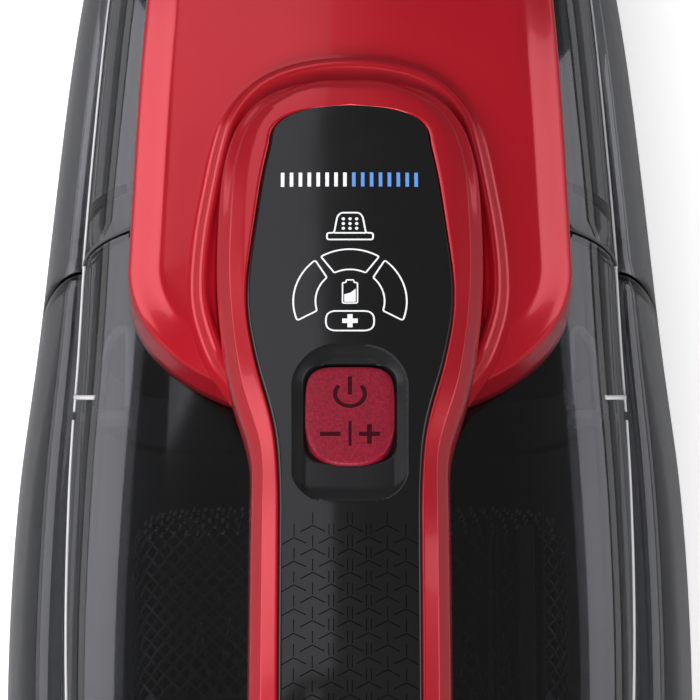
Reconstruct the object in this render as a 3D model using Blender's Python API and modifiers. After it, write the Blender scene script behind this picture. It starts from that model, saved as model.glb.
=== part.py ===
"""Cordless handheld vacuum, modelled as an assembly of separate parts.

Every size is in millimetres and is turned into metres when a mesh is made.
The nozzle points along +Y, +Z is up, and the part rests on its feet at z = 0.
The body outline is one set of lines along Y. The nozzle shell, the dust bowl, the motor housing
and everything that seats in them read their outlines from those lines.
"""

import math

import bmesh
import bpy
from mathutils import Matrix, Vector

MM = 0.001

# Overall body
NOZZLE_LENGTH = 213.0      # from the seam between nozzle and bowl to the tip
BOWL_LENGTH = 112.0        # from that seam back to the motor housing
HOUSING_LENGTH = 105.0     # the motor housing behind the bowl
SEAM_Y = 2.0               # where the seam between nozzle and bowl meets the top line
BODY_HALF_WIDTH = 70.0
TIP_HALF_WIDTH = 36.0
SHOULDER_STEP = 8.0        # how far the side wall stands outside the upper dome
BODY_TOP = 85.0
TIP_TOP = 35.0
SHOULDER_HEIGHT = 64.0
WIDEST_HEIGHT = 40.0
GROUND_GAP = 1.8           # the shells clear the ground by this, on their feet
WALL = 2.4
GAP = 0.3                  # clearance between parts that touch
LIP_LENGTH = 4.0

# Spine cover
SPINE_HALF_WIDTH = 43.8
SPINE_HEIGHT = 15.0        # above the body's top line
SPINE_WALL = 2.2
SPINE_REAR_REACH = 53.5    # behind the seam
SPINE_FRONT_REACH = 163.0  # ahead of the seam

# Handle
GRIP_HALF_WIDTH = 19.6
NOSE_HALF_WIDTH = 26.2
HANDLE_TOP = 137.0
HANDLE_WALL = 3.2
NOSE_FLOOR = 101.5
NOSE_REACH = 16.5          # ahead of the seam
GRIP_DEPTH = 23.0
INLAY_THICKNESS = 2.6
INLAY_GRIP_HALF_WIDTH = 14.0
INLAY_NOSE_HALF_WIDTH = 20.4
COLLAR_WIDTH = 2.6
COLLAR_TOP = 104.5

# Power button
BUTTON_WIDTH = 18.4
BUTTON_LENGTH = 21.4
BUTTON_TRAVEL = 1.0
BUTTON_Y = -59.0

# Motor and fan
AXIS_HEIGHT = 37.0
MOTOR_RADIUS = 17.5
MOTOR_LENGTH = 46.0
SHAFT_RADIUS = 1.6
FAN_RADIUS = 27.0
FAN_DEPTH = 11.0
SHROUD_WALL = 1.6
FAN_CLEARANCE = 1.6
BULKHEAD_THICKNESS = 3.8
CELL_RADIUS = 9.2
CELL_LENGTH = 65.0

# Filter
BASKET_HALF_WIDTH = 44.5
BASKET_TOP = 75.0
BASKET_BOTTOM = 12.0
BASKET_LENGTH = 44.0
FRAME_THICKNESS = 4.0
GASKET_THICKNESS = 2.0

# Nozzle fittings
DUCT_HALF_WIDTH = 23.0
DUCT_HALF_HEIGHT = 14.0
DUCT_HEIGHT = 36.0
DUCT_WALL = 1.6
CREVICE_HALF_WIDTH = 13.0
CREVICE_HALF_HEIGHT = 7.5
CREVICE_HEIGHT = 20.5
CREVICE_LENGTH = 110.0
CREVICE_WALL = 1.5
BRUSH_HALF_WIDTH = 28.0
BRUSH_PLATE_LENGTH = 15.0
BRUSH_BRISTLE_LENGTH = 14.0
BRUSH_PIN_RADIUS = 1.2

BOWL_END = SEAM_Y - BOWL_LENGTH
REAR_END = BOWL_END - HOUSING_LENGTH
TIP = SEAM_Y + NOZZLE_LENGTH
NOSE_END = SEAM_Y + NOSE_REACH
SPLIT_HEIGHT = 50.0        # where the motor housing's red upper half meets its lower half
LINE_AROUND = (6, 3, 4)    # spans of the dome, the side wall and the lower bend, on one half

# Colours: linear RGB, roughness, metallic
MATERIALS = {
    "red_gloss": ((0.50, 0.012, 0.018), 0.22, 0.0),
    "smoke": ((0.10, 0.10, 0.11), 0.12, 0.0),
    "black_satin": ((0.012, 0.012, 0.013), 0.38, 0.0),
    "charcoal": ((0.03, 0.03, 0.033), 0.45, 0.0),
    "button_red": ((0.30, 0.012, 0.03), 0.55, 0.0),
    "rubber": ((0.01, 0.01, 0.01), 0.8, 0.0),
    "steel": ((0.55, 0.55, 0.56), 0.3, 1.0),
    "filter_cloth": ((0.72, 0.70, 0.64), 0.9, 0.0),
    "grey_plastic": ((0.18, 0.18, 0.19), 0.5, 0.0),
    "board_green": ((0.02, 0.12, 0.05), 0.5, 0.0),
    "cell_wrap": ((0.05, 0.14, 0.34), 0.4, 0.0),
    "light_guide": ((0.75, 0.78, 0.8), 0.2, 0.0),
    "wire_red": ((0.45, 0.01, 0.01), 0.5, 0.0),
    "wire_black": ((0.01, 0.01, 0.01), 0.5, 0.0),
}


# ---------------------------------------------------------------- lines along the body

def line(table, y):
    """A smooth line through (y, value) pairs that never overshoots them."""
    points = sorted(table)
    if y <= points[0][0]:
        return points[0][1]
    if y >= points[-1][0]:
        return points[-1][1]
    steps = [(b[0] - a[0], (b[1] - a[1]) / (b[0] - a[0])) for a, b in zip(points, points[1:])]
    slopes = [steps[0][1]]
    for (_, before), (_, after) in zip(steps, steps[1:]):
        slopes.append(0.0 if before * after <= 0 else 2 * before * after / (before + after))
    slopes.append(steps[-1][1])
    k = max(i for i, point in enumerate(points[:-1]) if point[0] <= y)
    width = steps[k][0]
    t = (y - points[k][0]) / width
    return (
        (2 * t**3 - 3 * t**2 + 1) * points[k][1]
        + (t**3 - 2 * t**2 + t) * width * slopes[k]
        + (3 * t**2 - 2 * t**3) * points[k + 1][1]
        + (t**3 - t**2) * width * slopes[k + 1]
    )


def half_width(y):
    return line([
        (REAR_END, BODY_HALF_WIDTH - 50), (REAR_END + 4, BODY_HALF_WIDTH - 36),
        (REAR_END + 12, BODY_HALF_WIDTH - 25.5), (REAR_END + 25, BODY_HALF_WIDTH - 15.5),
        (REAR_END + 50, BODY_HALF_WIDTH - 6), (REAR_END + 80, BODY_HALF_WIDTH - 1.5),
        (BOWL_END + 20, BODY_HALF_WIDTH), (BOWL_END + 60, BODY_HALF_WIDTH - 1.1),
        (SEAM_Y - 7, BODY_HALF_WIDTH - 5.2), (SEAM_Y + 38, BODY_HALF_WIDTH - 10),
        (SEAM_Y + 61, BODY_HALF_WIDTH - 13), (TIP - 45, TIP_HALF_WIDTH + 5.5), (TIP, TIP_HALF_WIDTH),
    ], y)


def shoulder_half_width(y):
    step = line([
        (REAR_END, SHOULDER_STEP - 5), (REAR_END + 30, SHOULDER_STEP), (BOWL_END, SHOULDER_STEP),
        (SEAM_Y - 38, SHOULDER_STEP), (SEAM_Y, SHOULDER_STEP - 1.5), (TIP - 60, SHOULDER_STEP - 3),
        (TIP, SHOULDER_STEP - 4.5),
    ], y)
    return half_width(y) - step


def top_height(y):
    return line([
        (REAR_END, BODY_TOP - 38), (REAR_END + 4, BODY_TOP - 24), (REAR_END + 12, BODY_TOP - 11),
        (REAR_END + 25, BODY_TOP - 4), (REAR_END + 45, BODY_TOP - 1), (BOWL_END, BODY_TOP - 0.5),
        (SEAM_Y - 30, BODY_TOP), (SEAM_Y + 20, BODY_TOP), (SEAM_Y + 60, BODY_TOP - 5),
        (SEAM_Y + 100, BODY_TOP - 16), (TIP - 45, TIP_TOP + 12.5), (TIP, TIP_TOP),
    ], y)


def shoulder_height(y):
    return line([
        (REAR_END, SHOULDER_HEIGHT - 20), (REAR_END + 12, SHOULDER_HEIGHT - 7),
        (REAR_END + 35, SHOULDER_HEIGHT - 2), (BOWL_END, SHOULDER_HEIGHT), (SEAM_Y + 40, SHOULDER_HEIGHT),
        (SEAM_Y + 100, SHOULDER_HEIGHT - 11), (TIP - 45, TIP_TOP + 3), (TIP, TIP_TOP - 7.5),
    ], y)


def widest_height(y):
    return line([
        (REAR_END, WIDEST_HEIGHT - 2), (BOWL_END, WIDEST_HEIGHT), (SEAM_Y + 30, WIDEST_HEIGHT),
        (TIP - 60, WIDEST_HEIGHT - 14), (TIP, TIP_TOP - 16),
    ], y)


def bottom_height(y):
    return line([
        (REAR_END, GROUND_GAP + 32), (REAR_END + 4, GROUND_GAP + 15), (REAR_END + 12, GROUND_GAP + 3.5),
        (REAR_END + 20, GROUND_GAP), (SEAM_Y + 60, GROUND_GAP), (TIP - 60, GROUND_GAP + 2.5),
        (TIP, GROUND_GAP + 5.5),
    ], y)


def lean(y):
    """How far a section leans: its points move back by this times their depth below the top line."""
    return line([
        (BOWL_END, 0.0), (BOWL_END + 30, 0.0), (SEAM_Y, 0.32), (SEAM_Y + 60, 0.34), (TIP - 50, 0.6),
        (TIP, 0.9),
    ], y)


def power(value, exponent):
    return math.copysign(abs(value) ** exponent, value)


def half_section(y, grow=0.0):
    """(x, z) down one side of the body, from the top centre line to the bottom centre line."""
    dome, side, low = LINE_AROUND
    wide, shoulder = half_width(y) + grow, shoulder_half_width(y) + grow
    top, bottom = top_height(y) + grow, bottom_height(y) - grow
    middle, ledge = widest_height(y), shoulder_height(y) + 0.6 * grow
    flat = 0.55 * wide
    points = []
    for i in range(dome + 1):
        a = math.pi / 2 * i / dome
        points.append((shoulder * power(math.sin(a), 0.87), ledge + (top - ledge) * power(math.cos(a), 0.87)))
    for i in range(1, side + 1):
        a = math.pi / 2 * i / side
        points.append((shoulder + (wide - shoulder) * math.sin(a), middle + (ledge - middle) * math.cos(a)))
    for i in range(1, low + 1):
        a = math.pi / 2 * i / low
        points.append((
            flat + (wide - flat) * power(math.cos(a), 0.9), middle - (middle - bottom) * power(math.sin(a), 0.9)
        ))
    points.append((0.0, bottom))
    return points


def body_ring(y, grow=0.0, behind=0.0):
    """A closed ring of the body at this station, leaned as the seams lean. behind takes an earlier shape."""
    half = half_section(y - behind, grow)
    ring = half + [(-x, z) for x, z in reversed(half[1:-1])]
    return [Vector((x, y + lean(y) * (z - top_height(y)), z)) for x, z in ring]


def dome_surface(x, y):
    """The height of the body's upper dome at x."""
    share = min(1.0, abs(x) / shoulder_half_width(y)) ** (1 / 0.87)
    return shoulder_height(y) + (top_height(y) - shoulder_height(y)) * (1 - share**2) ** 0.435


# ---------------------------------------------------------------- mesh helpers

parts = bpy.data.collections.new("handheld_vacuum")
cutters = bpy.data.collections.new("cutters")


def clear_scene():
    for obj in list(bpy.data.objects):
        bpy.data.objects.remove(obj, do_unlink=True)
    for collection in (parts, cutters):
        bpy.context.scene.collection.children.link(collection)


def material(name):
    found = bpy.data.materials.get(name)
    if found:
        return found
    colour, roughness, metallic = MATERIALS[name]
    made = bpy.data.materials.new(name)
    made.use_nodes = True
    shader = made.node_tree.nodes["Principled BSDF"]
    shader.inputs["Base Color"].default_value = (*colour, 1.0)
    shader.inputs["Roughness"].default_value = roughness
    shader.inputs["Metallic"].default_value = metallic
    made.diffuse_color = (*colour, 1.0)
    return made


def place(obj, finish):
    """Puts an object among the parts, or among the cutters when it has no finish."""
    for collection in list(obj.users_collection):
        collection.objects.unlink(obj)
    if finish:
        parts.objects.link(obj)
        obj.data.materials.clear()
        obj.data.materials.append(material(finish))
    else:
        cutters.objects.link(obj)
        obj.hide_render = True
        obj.display_type = "WIRE"
    return obj


def from_bmesh(name, mesh, finish):
    data = bpy.data.meshes.new(name)
    for vertex in mesh.verts:
        vertex.co *= MM
    mesh.to_mesh(data)
    mesh.free()
    return place(bpy.data.objects.new(name, data), finish)


def loft(name, rings, finish=None, close=True, ends="open"):
    """A surface through rings of equal length. ends is open, both, first or last: which ends get a face."""
    mesh = bmesh.new()
    loops = [[mesh.verts.new(point) for point in ring] for ring in rings]
    for low, high in zip(loops, loops[1:]):
        spans = range(len(low) if close else len(low) - 1)
        for i in spans:
            j = (i + 1) % len(low)
            mesh.faces.new((low[i], low[j], high[j], high[i]))
    if ends in ("both", "first"):
        mesh.faces.new(loops[0])
    if ends in ("both", "last"):
        mesh.faces.new(loops[-1])
    bmesh.ops.recalc_face_normals(mesh, faces=mesh.faces)
    if ends != "both":
        face_outwards(mesh)
    return from_bmesh(name, mesh, finish)


def face_outwards(mesh):
    """Turns an open surface so that its faces look away from its middle."""
    middle = sum((v.co for v in mesh.verts), Vector()) / len(mesh.verts)
    away = sum((f.calc_center_median() - middle).dot(f.normal) * f.calc_area() for f in mesh.faces)
    if away < 0:
        bmesh.ops.reverse_faces(mesh, faces=mesh.faces)


def thicken(obj, wall):
    """Gives an open surface a wall on its inner side."""
    solid = obj.modifiers.new("wall", "SOLIDIFY")
    solid.thickness = wall * MM
    solid.offset = -1.0
    solid.use_even_offset = True
    solid.use_quality_normals = True
    return obj


def boolean(obj, other, operation="DIFFERENCE"):
    cut = obj.modifiers.new(other.name, "BOOLEAN")
    cut.operation = operation
    cut.object = other
    cut.solver = "EXACT"
    return obj


def round_edges(obj, width, segments=2, angle=40.0):
    bevel = obj.modifiers.new("round", "BEVEL")
    bevel.width = width * MM
    bevel.segments = segments
    bevel.limit_method = "ANGLE"
    bevel.angle_limit = math.radians(angle)
    return obj


def box(name, low, high, finish=None, tilt=0.0, rounding=0.0):
    """A box between two corners, turned about X through its centre by tilt degrees."""
    mesh = bmesh.new()
    bmesh.ops.create_cube(mesh, size=1.0)
    size = Vector(high) - Vector(low)
    centre = (Vector(high) + Vector(low)) / 2
    bmesh.ops.scale(mesh, vec=size, verts=mesh.verts)
    bmesh.ops.rotate(mesh, cent=(0, 0, 0), matrix=Matrix.Rotation(math.radians(tilt), 3, "X"), verts=mesh.verts)
    bmesh.ops.translate(mesh, vec=centre, verts=mesh.verts)
    made = from_bmesh(name, mesh, finish)
    return round_edges(made, rounding) if rounding else made


AXES = {
    "Z": Matrix.Identity(3),
    "-Y": Matrix.Rotation(math.radians(90), 3, "X"),
    "X": Matrix.Rotation(math.radians(90), 3, "Y"),
}


def turned(name, profile, centre, finish=None, axis="Z", steps=24):
    """A turned solid. The profile's (radius, height) points run down its outer side, from the top."""
    data = bpy.data.meshes.new(name)
    ring = profile[0][0] > 0
    edges = [(i, i + 1) for i in range(len(profile) - 1)] + ([(len(profile) - 1, 0)] if ring else [])
    data.from_pydata([(r * MM, 0, h * MM) for r, h in profile], edges, [])
    obj = place(bpy.data.objects.new(name, data), finish)
    obj.location = Vector(centre) * MM
    obj.rotation_euler = AXES[axis].to_euler()
    screw = obj.modifiers.new("turn", "SCREW")
    screw.steps = screw.render_steps = steps
    screw.use_merge_vertices = True
    screw.merge_threshold = 0.00001
    screw.use_smooth_shade = True
    return obj


def drum(name, radius, low, high, centre, finish=None, axis="Z", steps=24):
    return turned(name, [(0, high), (radius, high), (radius, low), (0, low)], centre, finish, axis, steps)


def pipe_ring(name, inner, outer, low, high, centre, finish=None, axis="Z", steps=24):
    profile = [(inner, high), (outer, high), (outer, low), (inner, low)]
    return turned(name, profile, centre, finish, axis, steps)


def tube(name, points, radius, finish, sides=2, cyclic=False):
    curve = bpy.data.curves.new(name, "CURVE")
    curve.dimensions = "3D"
    curve.bevel_depth = radius * MM
    curve.bevel_resolution = sides
    curve.use_fill_caps = not cyclic
    spline = curve.splines.new("POLY")
    spline.points.add(len(points) - 1)
    for spot, point in zip(spline.points, points):
        spot.co = (*(Vector(point) * MM), 1.0)
    spline.use_cyclic_u = cyclic
    return place(bpy.data.objects.new(name, curve), finish)


def meshed(obj, finish=None):
    """The same shape as a mesh with its caps welded, so that it can take or be a Boolean."""
    graph = bpy.context.evaluated_depsgraph_get()
    data = bpy.data.meshes.new_from_object(obj.evaluated_get(graph))
    mesh = bmesh.new()
    mesh.from_mesh(data)
    bmesh.ops.remove_doubles(mesh, verts=mesh.verts, dist=0.00001)
    bmesh.ops.recalc_face_normals(mesh, faces=mesh.faces)
    mesh.to_mesh(data)
    mesh.free()
    name, matrix = obj.name, obj.matrix_world.copy()
    bpy.data.objects.remove(obj, do_unlink=True)
    made = bpy.data.objects.new(name, data)
    made.matrix_world = matrix
    return place(made, finish)


def rounded_ring(y, half_x, half_z, centre_z, count=28, exponent=4.0):
    """A ring shaped between a box and an ellipse, in a plane across Y."""
    return [
        Vector((
            half_x * power(math.sin(2 * math.pi * i / count), 2 / exponent), y,
            centre_z + half_z * power(math.cos(2 * math.pi * i / count), 2 / exponent),
        ))
        for i in range(count)
    ]


# ---------------------------------------------------------------- bowl and nozzle

def body_volume(name, stations, grow, finish=None):
    return loft(name, [body_ring(y, grow) for y in stations], finish, ends="both")


def body_shell(name, stations, finish, grow=0.0):
    """A length of the body's skin, open at both ends."""
    shell = body_volume(name, stations, grow, finish)
    inner = [stations[0] - 12] + stations + [stations[-1] + 12]
    return boolean(shell, body_volume(f"{name}_hollow", inner, -WALL))


def make_dust_bowl():
    y0, y1 = BOWL_END + GAP, SEAM_Y - GAP / 2
    return body_shell("dust_bowl", [y0 + (y1 - y0) * i / 5 for i in range(6)], "smoke")


def brush_hinge():
    """(y, z) of the flip-up brush's hinge axis."""
    y = TIP - 15
    return y, top_height(y) + 5.2


def make_nozzle():
    y0, y1 = SEAM_Y + GAP / 2, TIP - LIP_LENGTH - GAP
    shell = body_shell("nozzle_shell", [y0 + (y1 - y0) * i / 8 for i in range(9)], "smoke")
    hinge_y, hinge_z = brush_hinge()
    for side in (-1, 1):
        near, far = BRUSH_HALF_WIDTH + 1.5, BRUSH_HALF_WIDTH + 4.0
        low, high = sorted((side * near, side * far))
        foot = dome_surface(far, hinge_y) - 1.2
        lug = box(f"lug_{side}", (low, hinge_y - 4, foot), (high, hinge_y + 4, hinge_z + 3), rounding=0.8)
        boolean(shell, lug, "UNION")
    bore = drum("brush_bore", BRUSH_PIN_RADIUS + GAP, -60, 60, (0, hinge_y, hinge_z), axis="X", steps=12)
    boolean(shell, bore)
    return shell


def make_nozzle_lip():
    return body_shell("nozzle_lip", [TIP - LIP_LENGTH, TIP], "black_satin", 0.8)


# ---------------------------------------------------------------- spine cover

def spine_half_width(y):
    rear, full = SEAM_Y - SPINE_REAR_REACH, SEAM_Y - 14
    front, taper = SEAM_Y + SPINE_FRONT_REACH, SEAM_Y + SPINE_FRONT_REACH - 22
    wide = line([
        (full, SPINE_HALF_WIDTH), (SEAM_Y + 16, SPINE_HALF_WIDTH - 1.3), (SEAM_Y + 38, SPINE_HALF_WIDTH - 2.6),
        (SEAM_Y + 100, SPINE_HALF_WIDTH - 9), (front, SPINE_HALF_WIDTH - 17),
    ], y)
    if y < full:
        return wide * (1 - ((full - y) / (full - rear)) ** 2.5) ** 0.4
    if y > taper:
        return wide * (1 - ((y - taper) / (front - taper)) ** 2) ** 0.5
    return wide


def spine_top(y):
    return top_height(y) + line([
        (SEAM_Y - SPINE_REAR_REACH, SPINE_HEIGHT - 2), (SEAM_Y - 20, SPINE_HEIGHT), (SEAM_Y + 30, SPINE_HEIGHT),
        (SEAM_Y + 70, SPINE_HEIGHT + 1), (SEAM_Y + 120, SPINE_HEIGHT - 3), (SEAM_Y + SPINE_FRONT_REACH, SPINE_HEIGHT - 9),
    ], y)


def spine_arch(y, inset=0.0, spans=14):
    reach = [min(max(y + d, SEAM_Y - SPINE_REAR_REACH + 0.2), SEAM_Y + SPINE_FRONT_REACH - 0.2) for d in (-inset, 0, inset)]
    wide = min(spine_half_width(t) for t in reach) - 0.85 * inset
    top = spine_top(y) - inset
    foot = dome_surface(wide, y) - 4
    points = []
    for i in range(spans + 1):
        a = math.pi * (i / spans - 0.5)
        points.append(Vector((wide * power(math.sin(a), 0.5), y, foot + (top - foot) * power(math.cos(a), 0.5))))
    return points


def nose_outline(offset, rear, count=17):
    """(x, y) points around the handle's nose, from its right flank forward and back down its left."""
    flank = [rear + (NOSE_END - rear) * math.sin(math.pi / 2 * i / (count // 2)) for i in range(count // 2 + 1)]
    right = [(handle_half_width(y), y) for y in flank[:-1]]
    widest = max(x for x, _ in right)
    right = [(widest if y < flank[2] else x, y) for x, y in right]
    out = []
    for k, (x, y) in enumerate(right):
        x0, y0 = right[max(k - 1, 0)]
        x1, y1 = right[k + 1] if k + 1 < len(right) else (0.0, NOSE_END)
        length = math.hypot(x1 - x0, y1 - y0)
        out.append((x + offset * (y1 - y0) / length, y - offset * (x1 - x0) / length))
    return out + [(0.0, NOSE_END + offset)] + [(-x, y) for x, y in reversed(out)]


def make_spine():
    rear, front = SEAM_Y - SPINE_REAR_REACH, SEAM_Y + SPINE_FRONT_REACH
    stations = [rear + d for d in (0.3, 1.5, 4, 9, 16, 26, 40, 58, 80, 110)]
    stations += [front - d for d in (45, 22, 12, 5, 1.5, 0.4)]
    shell = loft("spine_cover", [spine_arch(y) for y in stations], "red_gloss", ends="both")
    inner = [rear + SPINE_WALL + d for d in (0.5, 2, 5, 10, 18, 30, 50, 75, 110)]
    inner += [front - SPINE_WALL - d for d in (22, 10, 4, 0.5)]
    boolean(shell, loft("spine_hollow", [spine_arch(y, SPINE_WALL) for y in inner], ends="both"))
    under = body_volume("under_spine", [BOWL_END + 30 + 17 * i for i in range(18)], GAP + 0.1)
    boolean(shell, under)
    rear_end = SEAM_Y - 36
    inner, outer = nose_outline(1.0, rear_end), nose_outline(1.0 + COLLAR_WIDTH, rear_end)
    floor = SPINE_HEIGHT + BODY_TOP - 1.4
    rings = [
        [Vector((*a, floor)), Vector((*b, floor)), Vector((*b, COLLAR_TOP - 0.8)), Vector((*a, COLLAR_TOP))]
        for a, b in zip(inner, outer)
    ]
    boolean(shell, loft("collar", rings, ends="both"), "UNION")
    return shell


# ---------------------------------------------------------------- handle

def handle_top(y):
    return line([
        (REAR_END + 4, HANDLE_TOP - 52), (REAR_END + 7, HANDLE_TOP - 38), (REAR_END + 20, HANDLE_TOP - 17.5),
        (REAR_END + 50, HANDLE_TOP - 3.5), (REAR_END + 88, HANDLE_TOP), (BOWL_END + 12, HANDLE_TOP - 2),
        (BOWL_END + 36, HANDLE_TOP - 6.5), (BOWL_END + 51, HANDLE_TOP - 10), (SEAM_Y - 35, HANDLE_TOP - 18.5),
        (NOSE_END - 7.5, HANDLE_TOP - 28.6), (NOSE_END - 3.5, HANDLE_TOP - 29.6),
        (NOSE_END - 1, HANDLE_TOP - 31.2), (NOSE_END, HANDLE_TOP - 33),
    ], y)


def handle_bottom(y):
    under = HANDLE_TOP - GRIP_DEPTH
    if y < REAR_END + 38:
        return min(top_height(y) - 8, HANDLE_TOP)
    return line([
        (REAR_END + 38, top_height(REAR_END + 38) - 8), (REAR_END + 42, under - 22), (REAR_END + 48, under - 10),
        (REAR_END + 58, under - 3), (REAR_END + 88, under), (BOWL_END + 30, under - 4.5),
        (SEAM_Y - 58, NOSE_FLOOR), (NOSE_END - 1.5, NOSE_FLOOR), (NOSE_END, NOSE_FLOOR + 0.6),
    ], y)


def handle_half_width(y):
    return line([
        (REAR_END + 4, GRIP_HALF_WIDTH - 6), (REAR_END + 10, GRIP_HALF_WIDTH - 1),
        (REAR_END + 25, GRIP_HALF_WIDTH + 1), (REAR_END + 60, GRIP_HALF_WIDTH), (BOWL_END + 36, GRIP_HALF_WIDTH),
        (BOWL_END + 46, GRIP_HALF_WIDTH + 1), (SEAM_Y - 54, NOSE_HALF_WIDTH - 3.2), (SEAM_Y - 42, NOSE_HALF_WIDTH - 1.2),
        (SEAM_Y - 27, NOSE_HALF_WIDTH), (SEAM_Y - 7, NOSE_HALF_WIDTH - 0.6), (NOSE_END - 13.5, NOSE_HALF_WIDTH - 2.6),
        (NOSE_END - 7.5, NOSE_HALF_WIDTH - 5.8), (NOSE_END - 3.5, NOSE_HALF_WIDTH - 10),
        (NOSE_END - 1.2, NOSE_HALF_WIDTH - 15), (NOSE_END, NOSE_HALF_WIDTH - 20),
    ], y)


def inlay_half_width(y):
    rear, front = REAR_END + 34, NOSE_END - 7.3
    wide = line([
        (rear, INLAY_GRIP_HALF_WIDTH), (SEAM_Y - 76, INLAY_GRIP_HALF_WIDTH), (SEAM_Y - 67, INLAY_GRIP_HALF_WIDTH + 1.4),
        (SEAM_Y - 54, INLAY_NOSE_HALF_WIDTH - 2.2), (SEAM_Y - 42, INLAY_NOSE_HALF_WIDTH - 0.6),
        (SEAM_Y - 32, INLAY_NOSE_HALF_WIDTH), (SEAM_Y - 17, INLAY_NOSE_HALF_WIDTH - 1.3),
        (front - 8, INLAY_NOSE_HALF_WIDTH - 3.0),
    ], y)
    if y > front - 8:
        return wide * max(1 - ((y - front + 8) / 8) ** 2.6, 0.0) ** 0.42
    if y < rear + 8:
        return wide * max(1 - ((rear + 8 - y) / 8) ** 2.6, 0.0) ** 0.42
    return wide


def handle_surface(x, y):
    """The height of the handle's top surface at x."""
    low, top, wide = handle_bottom(y), handle_top(y), handle_half_width(y)
    if y < REAR_END + 50:
        low = top - GRIP_DEPTH
    share = min(1.0, abs(x) / wide)
    return (top + low) / 2 + (top - low) / 2 * (1 - share ** (1 / 0.31)) ** 0.31


def handle_ring(y, inset=0.0, count=20):
    reach = [min(max(y + d, REAR_END + 4.5), NOSE_END) for d in (-inset, 0, inset)]
    wide = min(handle_half_width(t) for t in reach) - 0.9 * inset
    top = min(handle_top(t) for t in reach) - 0.9 * inset
    low = max(handle_bottom(t) for t in reach) + 0.9 * inset if y > REAR_END + 52 else handle_bottom(y) + inset
    return rounded_ring(y, wide, (top - low) / 2, (top + low) / 2, count, 1 / 0.31)


def inlay_stations():
    rear, front = REAR_END + 34, NOSE_END - 7.3
    near = [0.15, 1.0, 3.0, 8.0]
    middle = [rear + 8 + (front - rear - 16) * i / 12 for i in range(1, 12)]
    return [rear + d for d in near] + middle + [front - d for d in reversed(near)]


def handle_volume(name):
    """Everything the motor housing takes up where the handle's root meets it."""
    return loft(name, [body_ring(y, 1.3 * GAP) for y in [REAR_END - GAP] + housing_stations()[:-1]], ends="both")


def make_handle():
    stations = [REAR_END + d for d in (4.5, 7, 12, 20, 30, 38, 42, 48, 56, 70, 90)]
    stations += [BOWL_END + d for d in (10, 25, 38, 48, 58, 70, 84, 100)]
    stations += [NOSE_END - d for d in (9, 5, 2, 0.6, 0.1)]
    shell = loft("handle_shell", [handle_ring(y) for y in stations], "red_gloss", ends="both")
    inner = [y for y in stations if REAR_END + 4.5 + HANDLE_WALL < y < NOSE_END - HANDLE_WALL - 0.5]
    hollow = [handle_ring(y, HANDLE_WALL) for y in inner + [NOSE_END - HANDLE_WALL - 0.4]]
    boolean(shell, loft("handle_hollow", hollow, ends="both"))
    rings = []
    for spot in inlay_stations():
        half = max(inlay_half_width(spot), 0.8) + GAP
        y = spot + (GAP if spot > 0 else -GAP if spot < REAR_END + 42 else 0.0)
        low = (handle_top(y) + handle_bottom(y)) / 2 if y > REAR_END + 50 else handle_top(y) - 10
        rings.append([Vector((x, y, z)) for x, z in ((-half, low), (half, low), (half, 160), (-half, 160))])
    boolean(shell, loft("inlay_window", rings, ends="both"))
    boolean(shell, handle_volume("handle_root_cut"))
    rings = []
    for y in inlay_stations():
        half = max(inlay_half_width(y), 0.8)
        xs = [half * t for t in (-1, -0.6, 0, 0.6, 1)]
        top = [Vector((x, y, handle_surface(x, y))) for x in xs]
        rings.append(top + [p - Vector((0, 0, INLAY_THICKNESS)) for p in reversed(top)])
    inlay = loft("handle_inlay", rings, "black_satin", ends="both")
    y, z, tilt = button_seat()
    size = (BUTTON_WIDTH / 2, BUTTON_LENGTH / 2)
    hole = box("button_hole", (-size[0] - GAP, y - size[1] - GAP, z - 9), (size[0] + GAP, y + size[1] + GAP, z + 9),
               tilt=tilt, rounding=2.2)
    dish = box("button_dish", (-size[0] - 2.2, y - size[1] - 7.5, z - 1.0), (size[0] + 2.2, y + size[1] + 4.5, z + 9),
               tilt=tilt, rounding=0.8)
    boolean(inlay, dish)
    boolean(inlay, hole)


def button_seat():
    """(y, z, tilt in degrees) of the button's top face."""
    slope = (handle_top(BUTTON_Y - 8) - handle_top(BUTTON_Y + 8)) / 16
    return BUTTON_Y, handle_top(BUTTON_Y), -math.degrees(math.atan(slope))


def seated(name, half_x, half_y, low, high, finish, shift=0.0, rounding=0.0):
    """A block under the button's top face: low and high are measured along the button's normal."""
    y, z, tilt = button_seat()
    angle = math.radians(tilt)
    along = Vector((0, math.cos(angle), math.sin(angle)))
    normal = Vector((0, -math.sin(angle), math.cos(angle)))
    centre = Vector((0, y, z)) + normal * (low + high) / 2 + along * shift
    half = Vector((half_x, half_y, (high - low) / 2))
    return box(name, centre - half, centre + half, finish, tilt, rounding)


def make_controls():
    seated("power_button", BUTTON_WIDTH / 2, BUTTON_LENGTH / 2, -5.5, -0.4, "button_red", rounding=2.2)
    seated("switch_dome", 4, 4, -8.5, -5.5 - BUTTON_TRAVEL - GAP, "rubber", rounding=0.5)
    seated("switch_board", 11, 15, -10.4, -8.8, "board_green")
    y = SEAM_Y - 33
    top = handle_top(y) - INLAY_THICKNESS
    box("light_guide", (-11, y - 9, top - 3.8), (11, y + 9, top - 1.0), "light_guide", tilt=-15, rounding=0.4)
    box("display_board", (-13, y - 10, top - 6.6), (13, y + 10, top - 5.2), "board_green", tilt=-15)


# ---------------------------------------------------------------- motor housing

def housing_stations():
    return [REAR_END + d for d in (0, 1.5, 4, 8, 13, 20, 30, 45, 65, 85)] + [BOWL_END - GAP]


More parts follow.
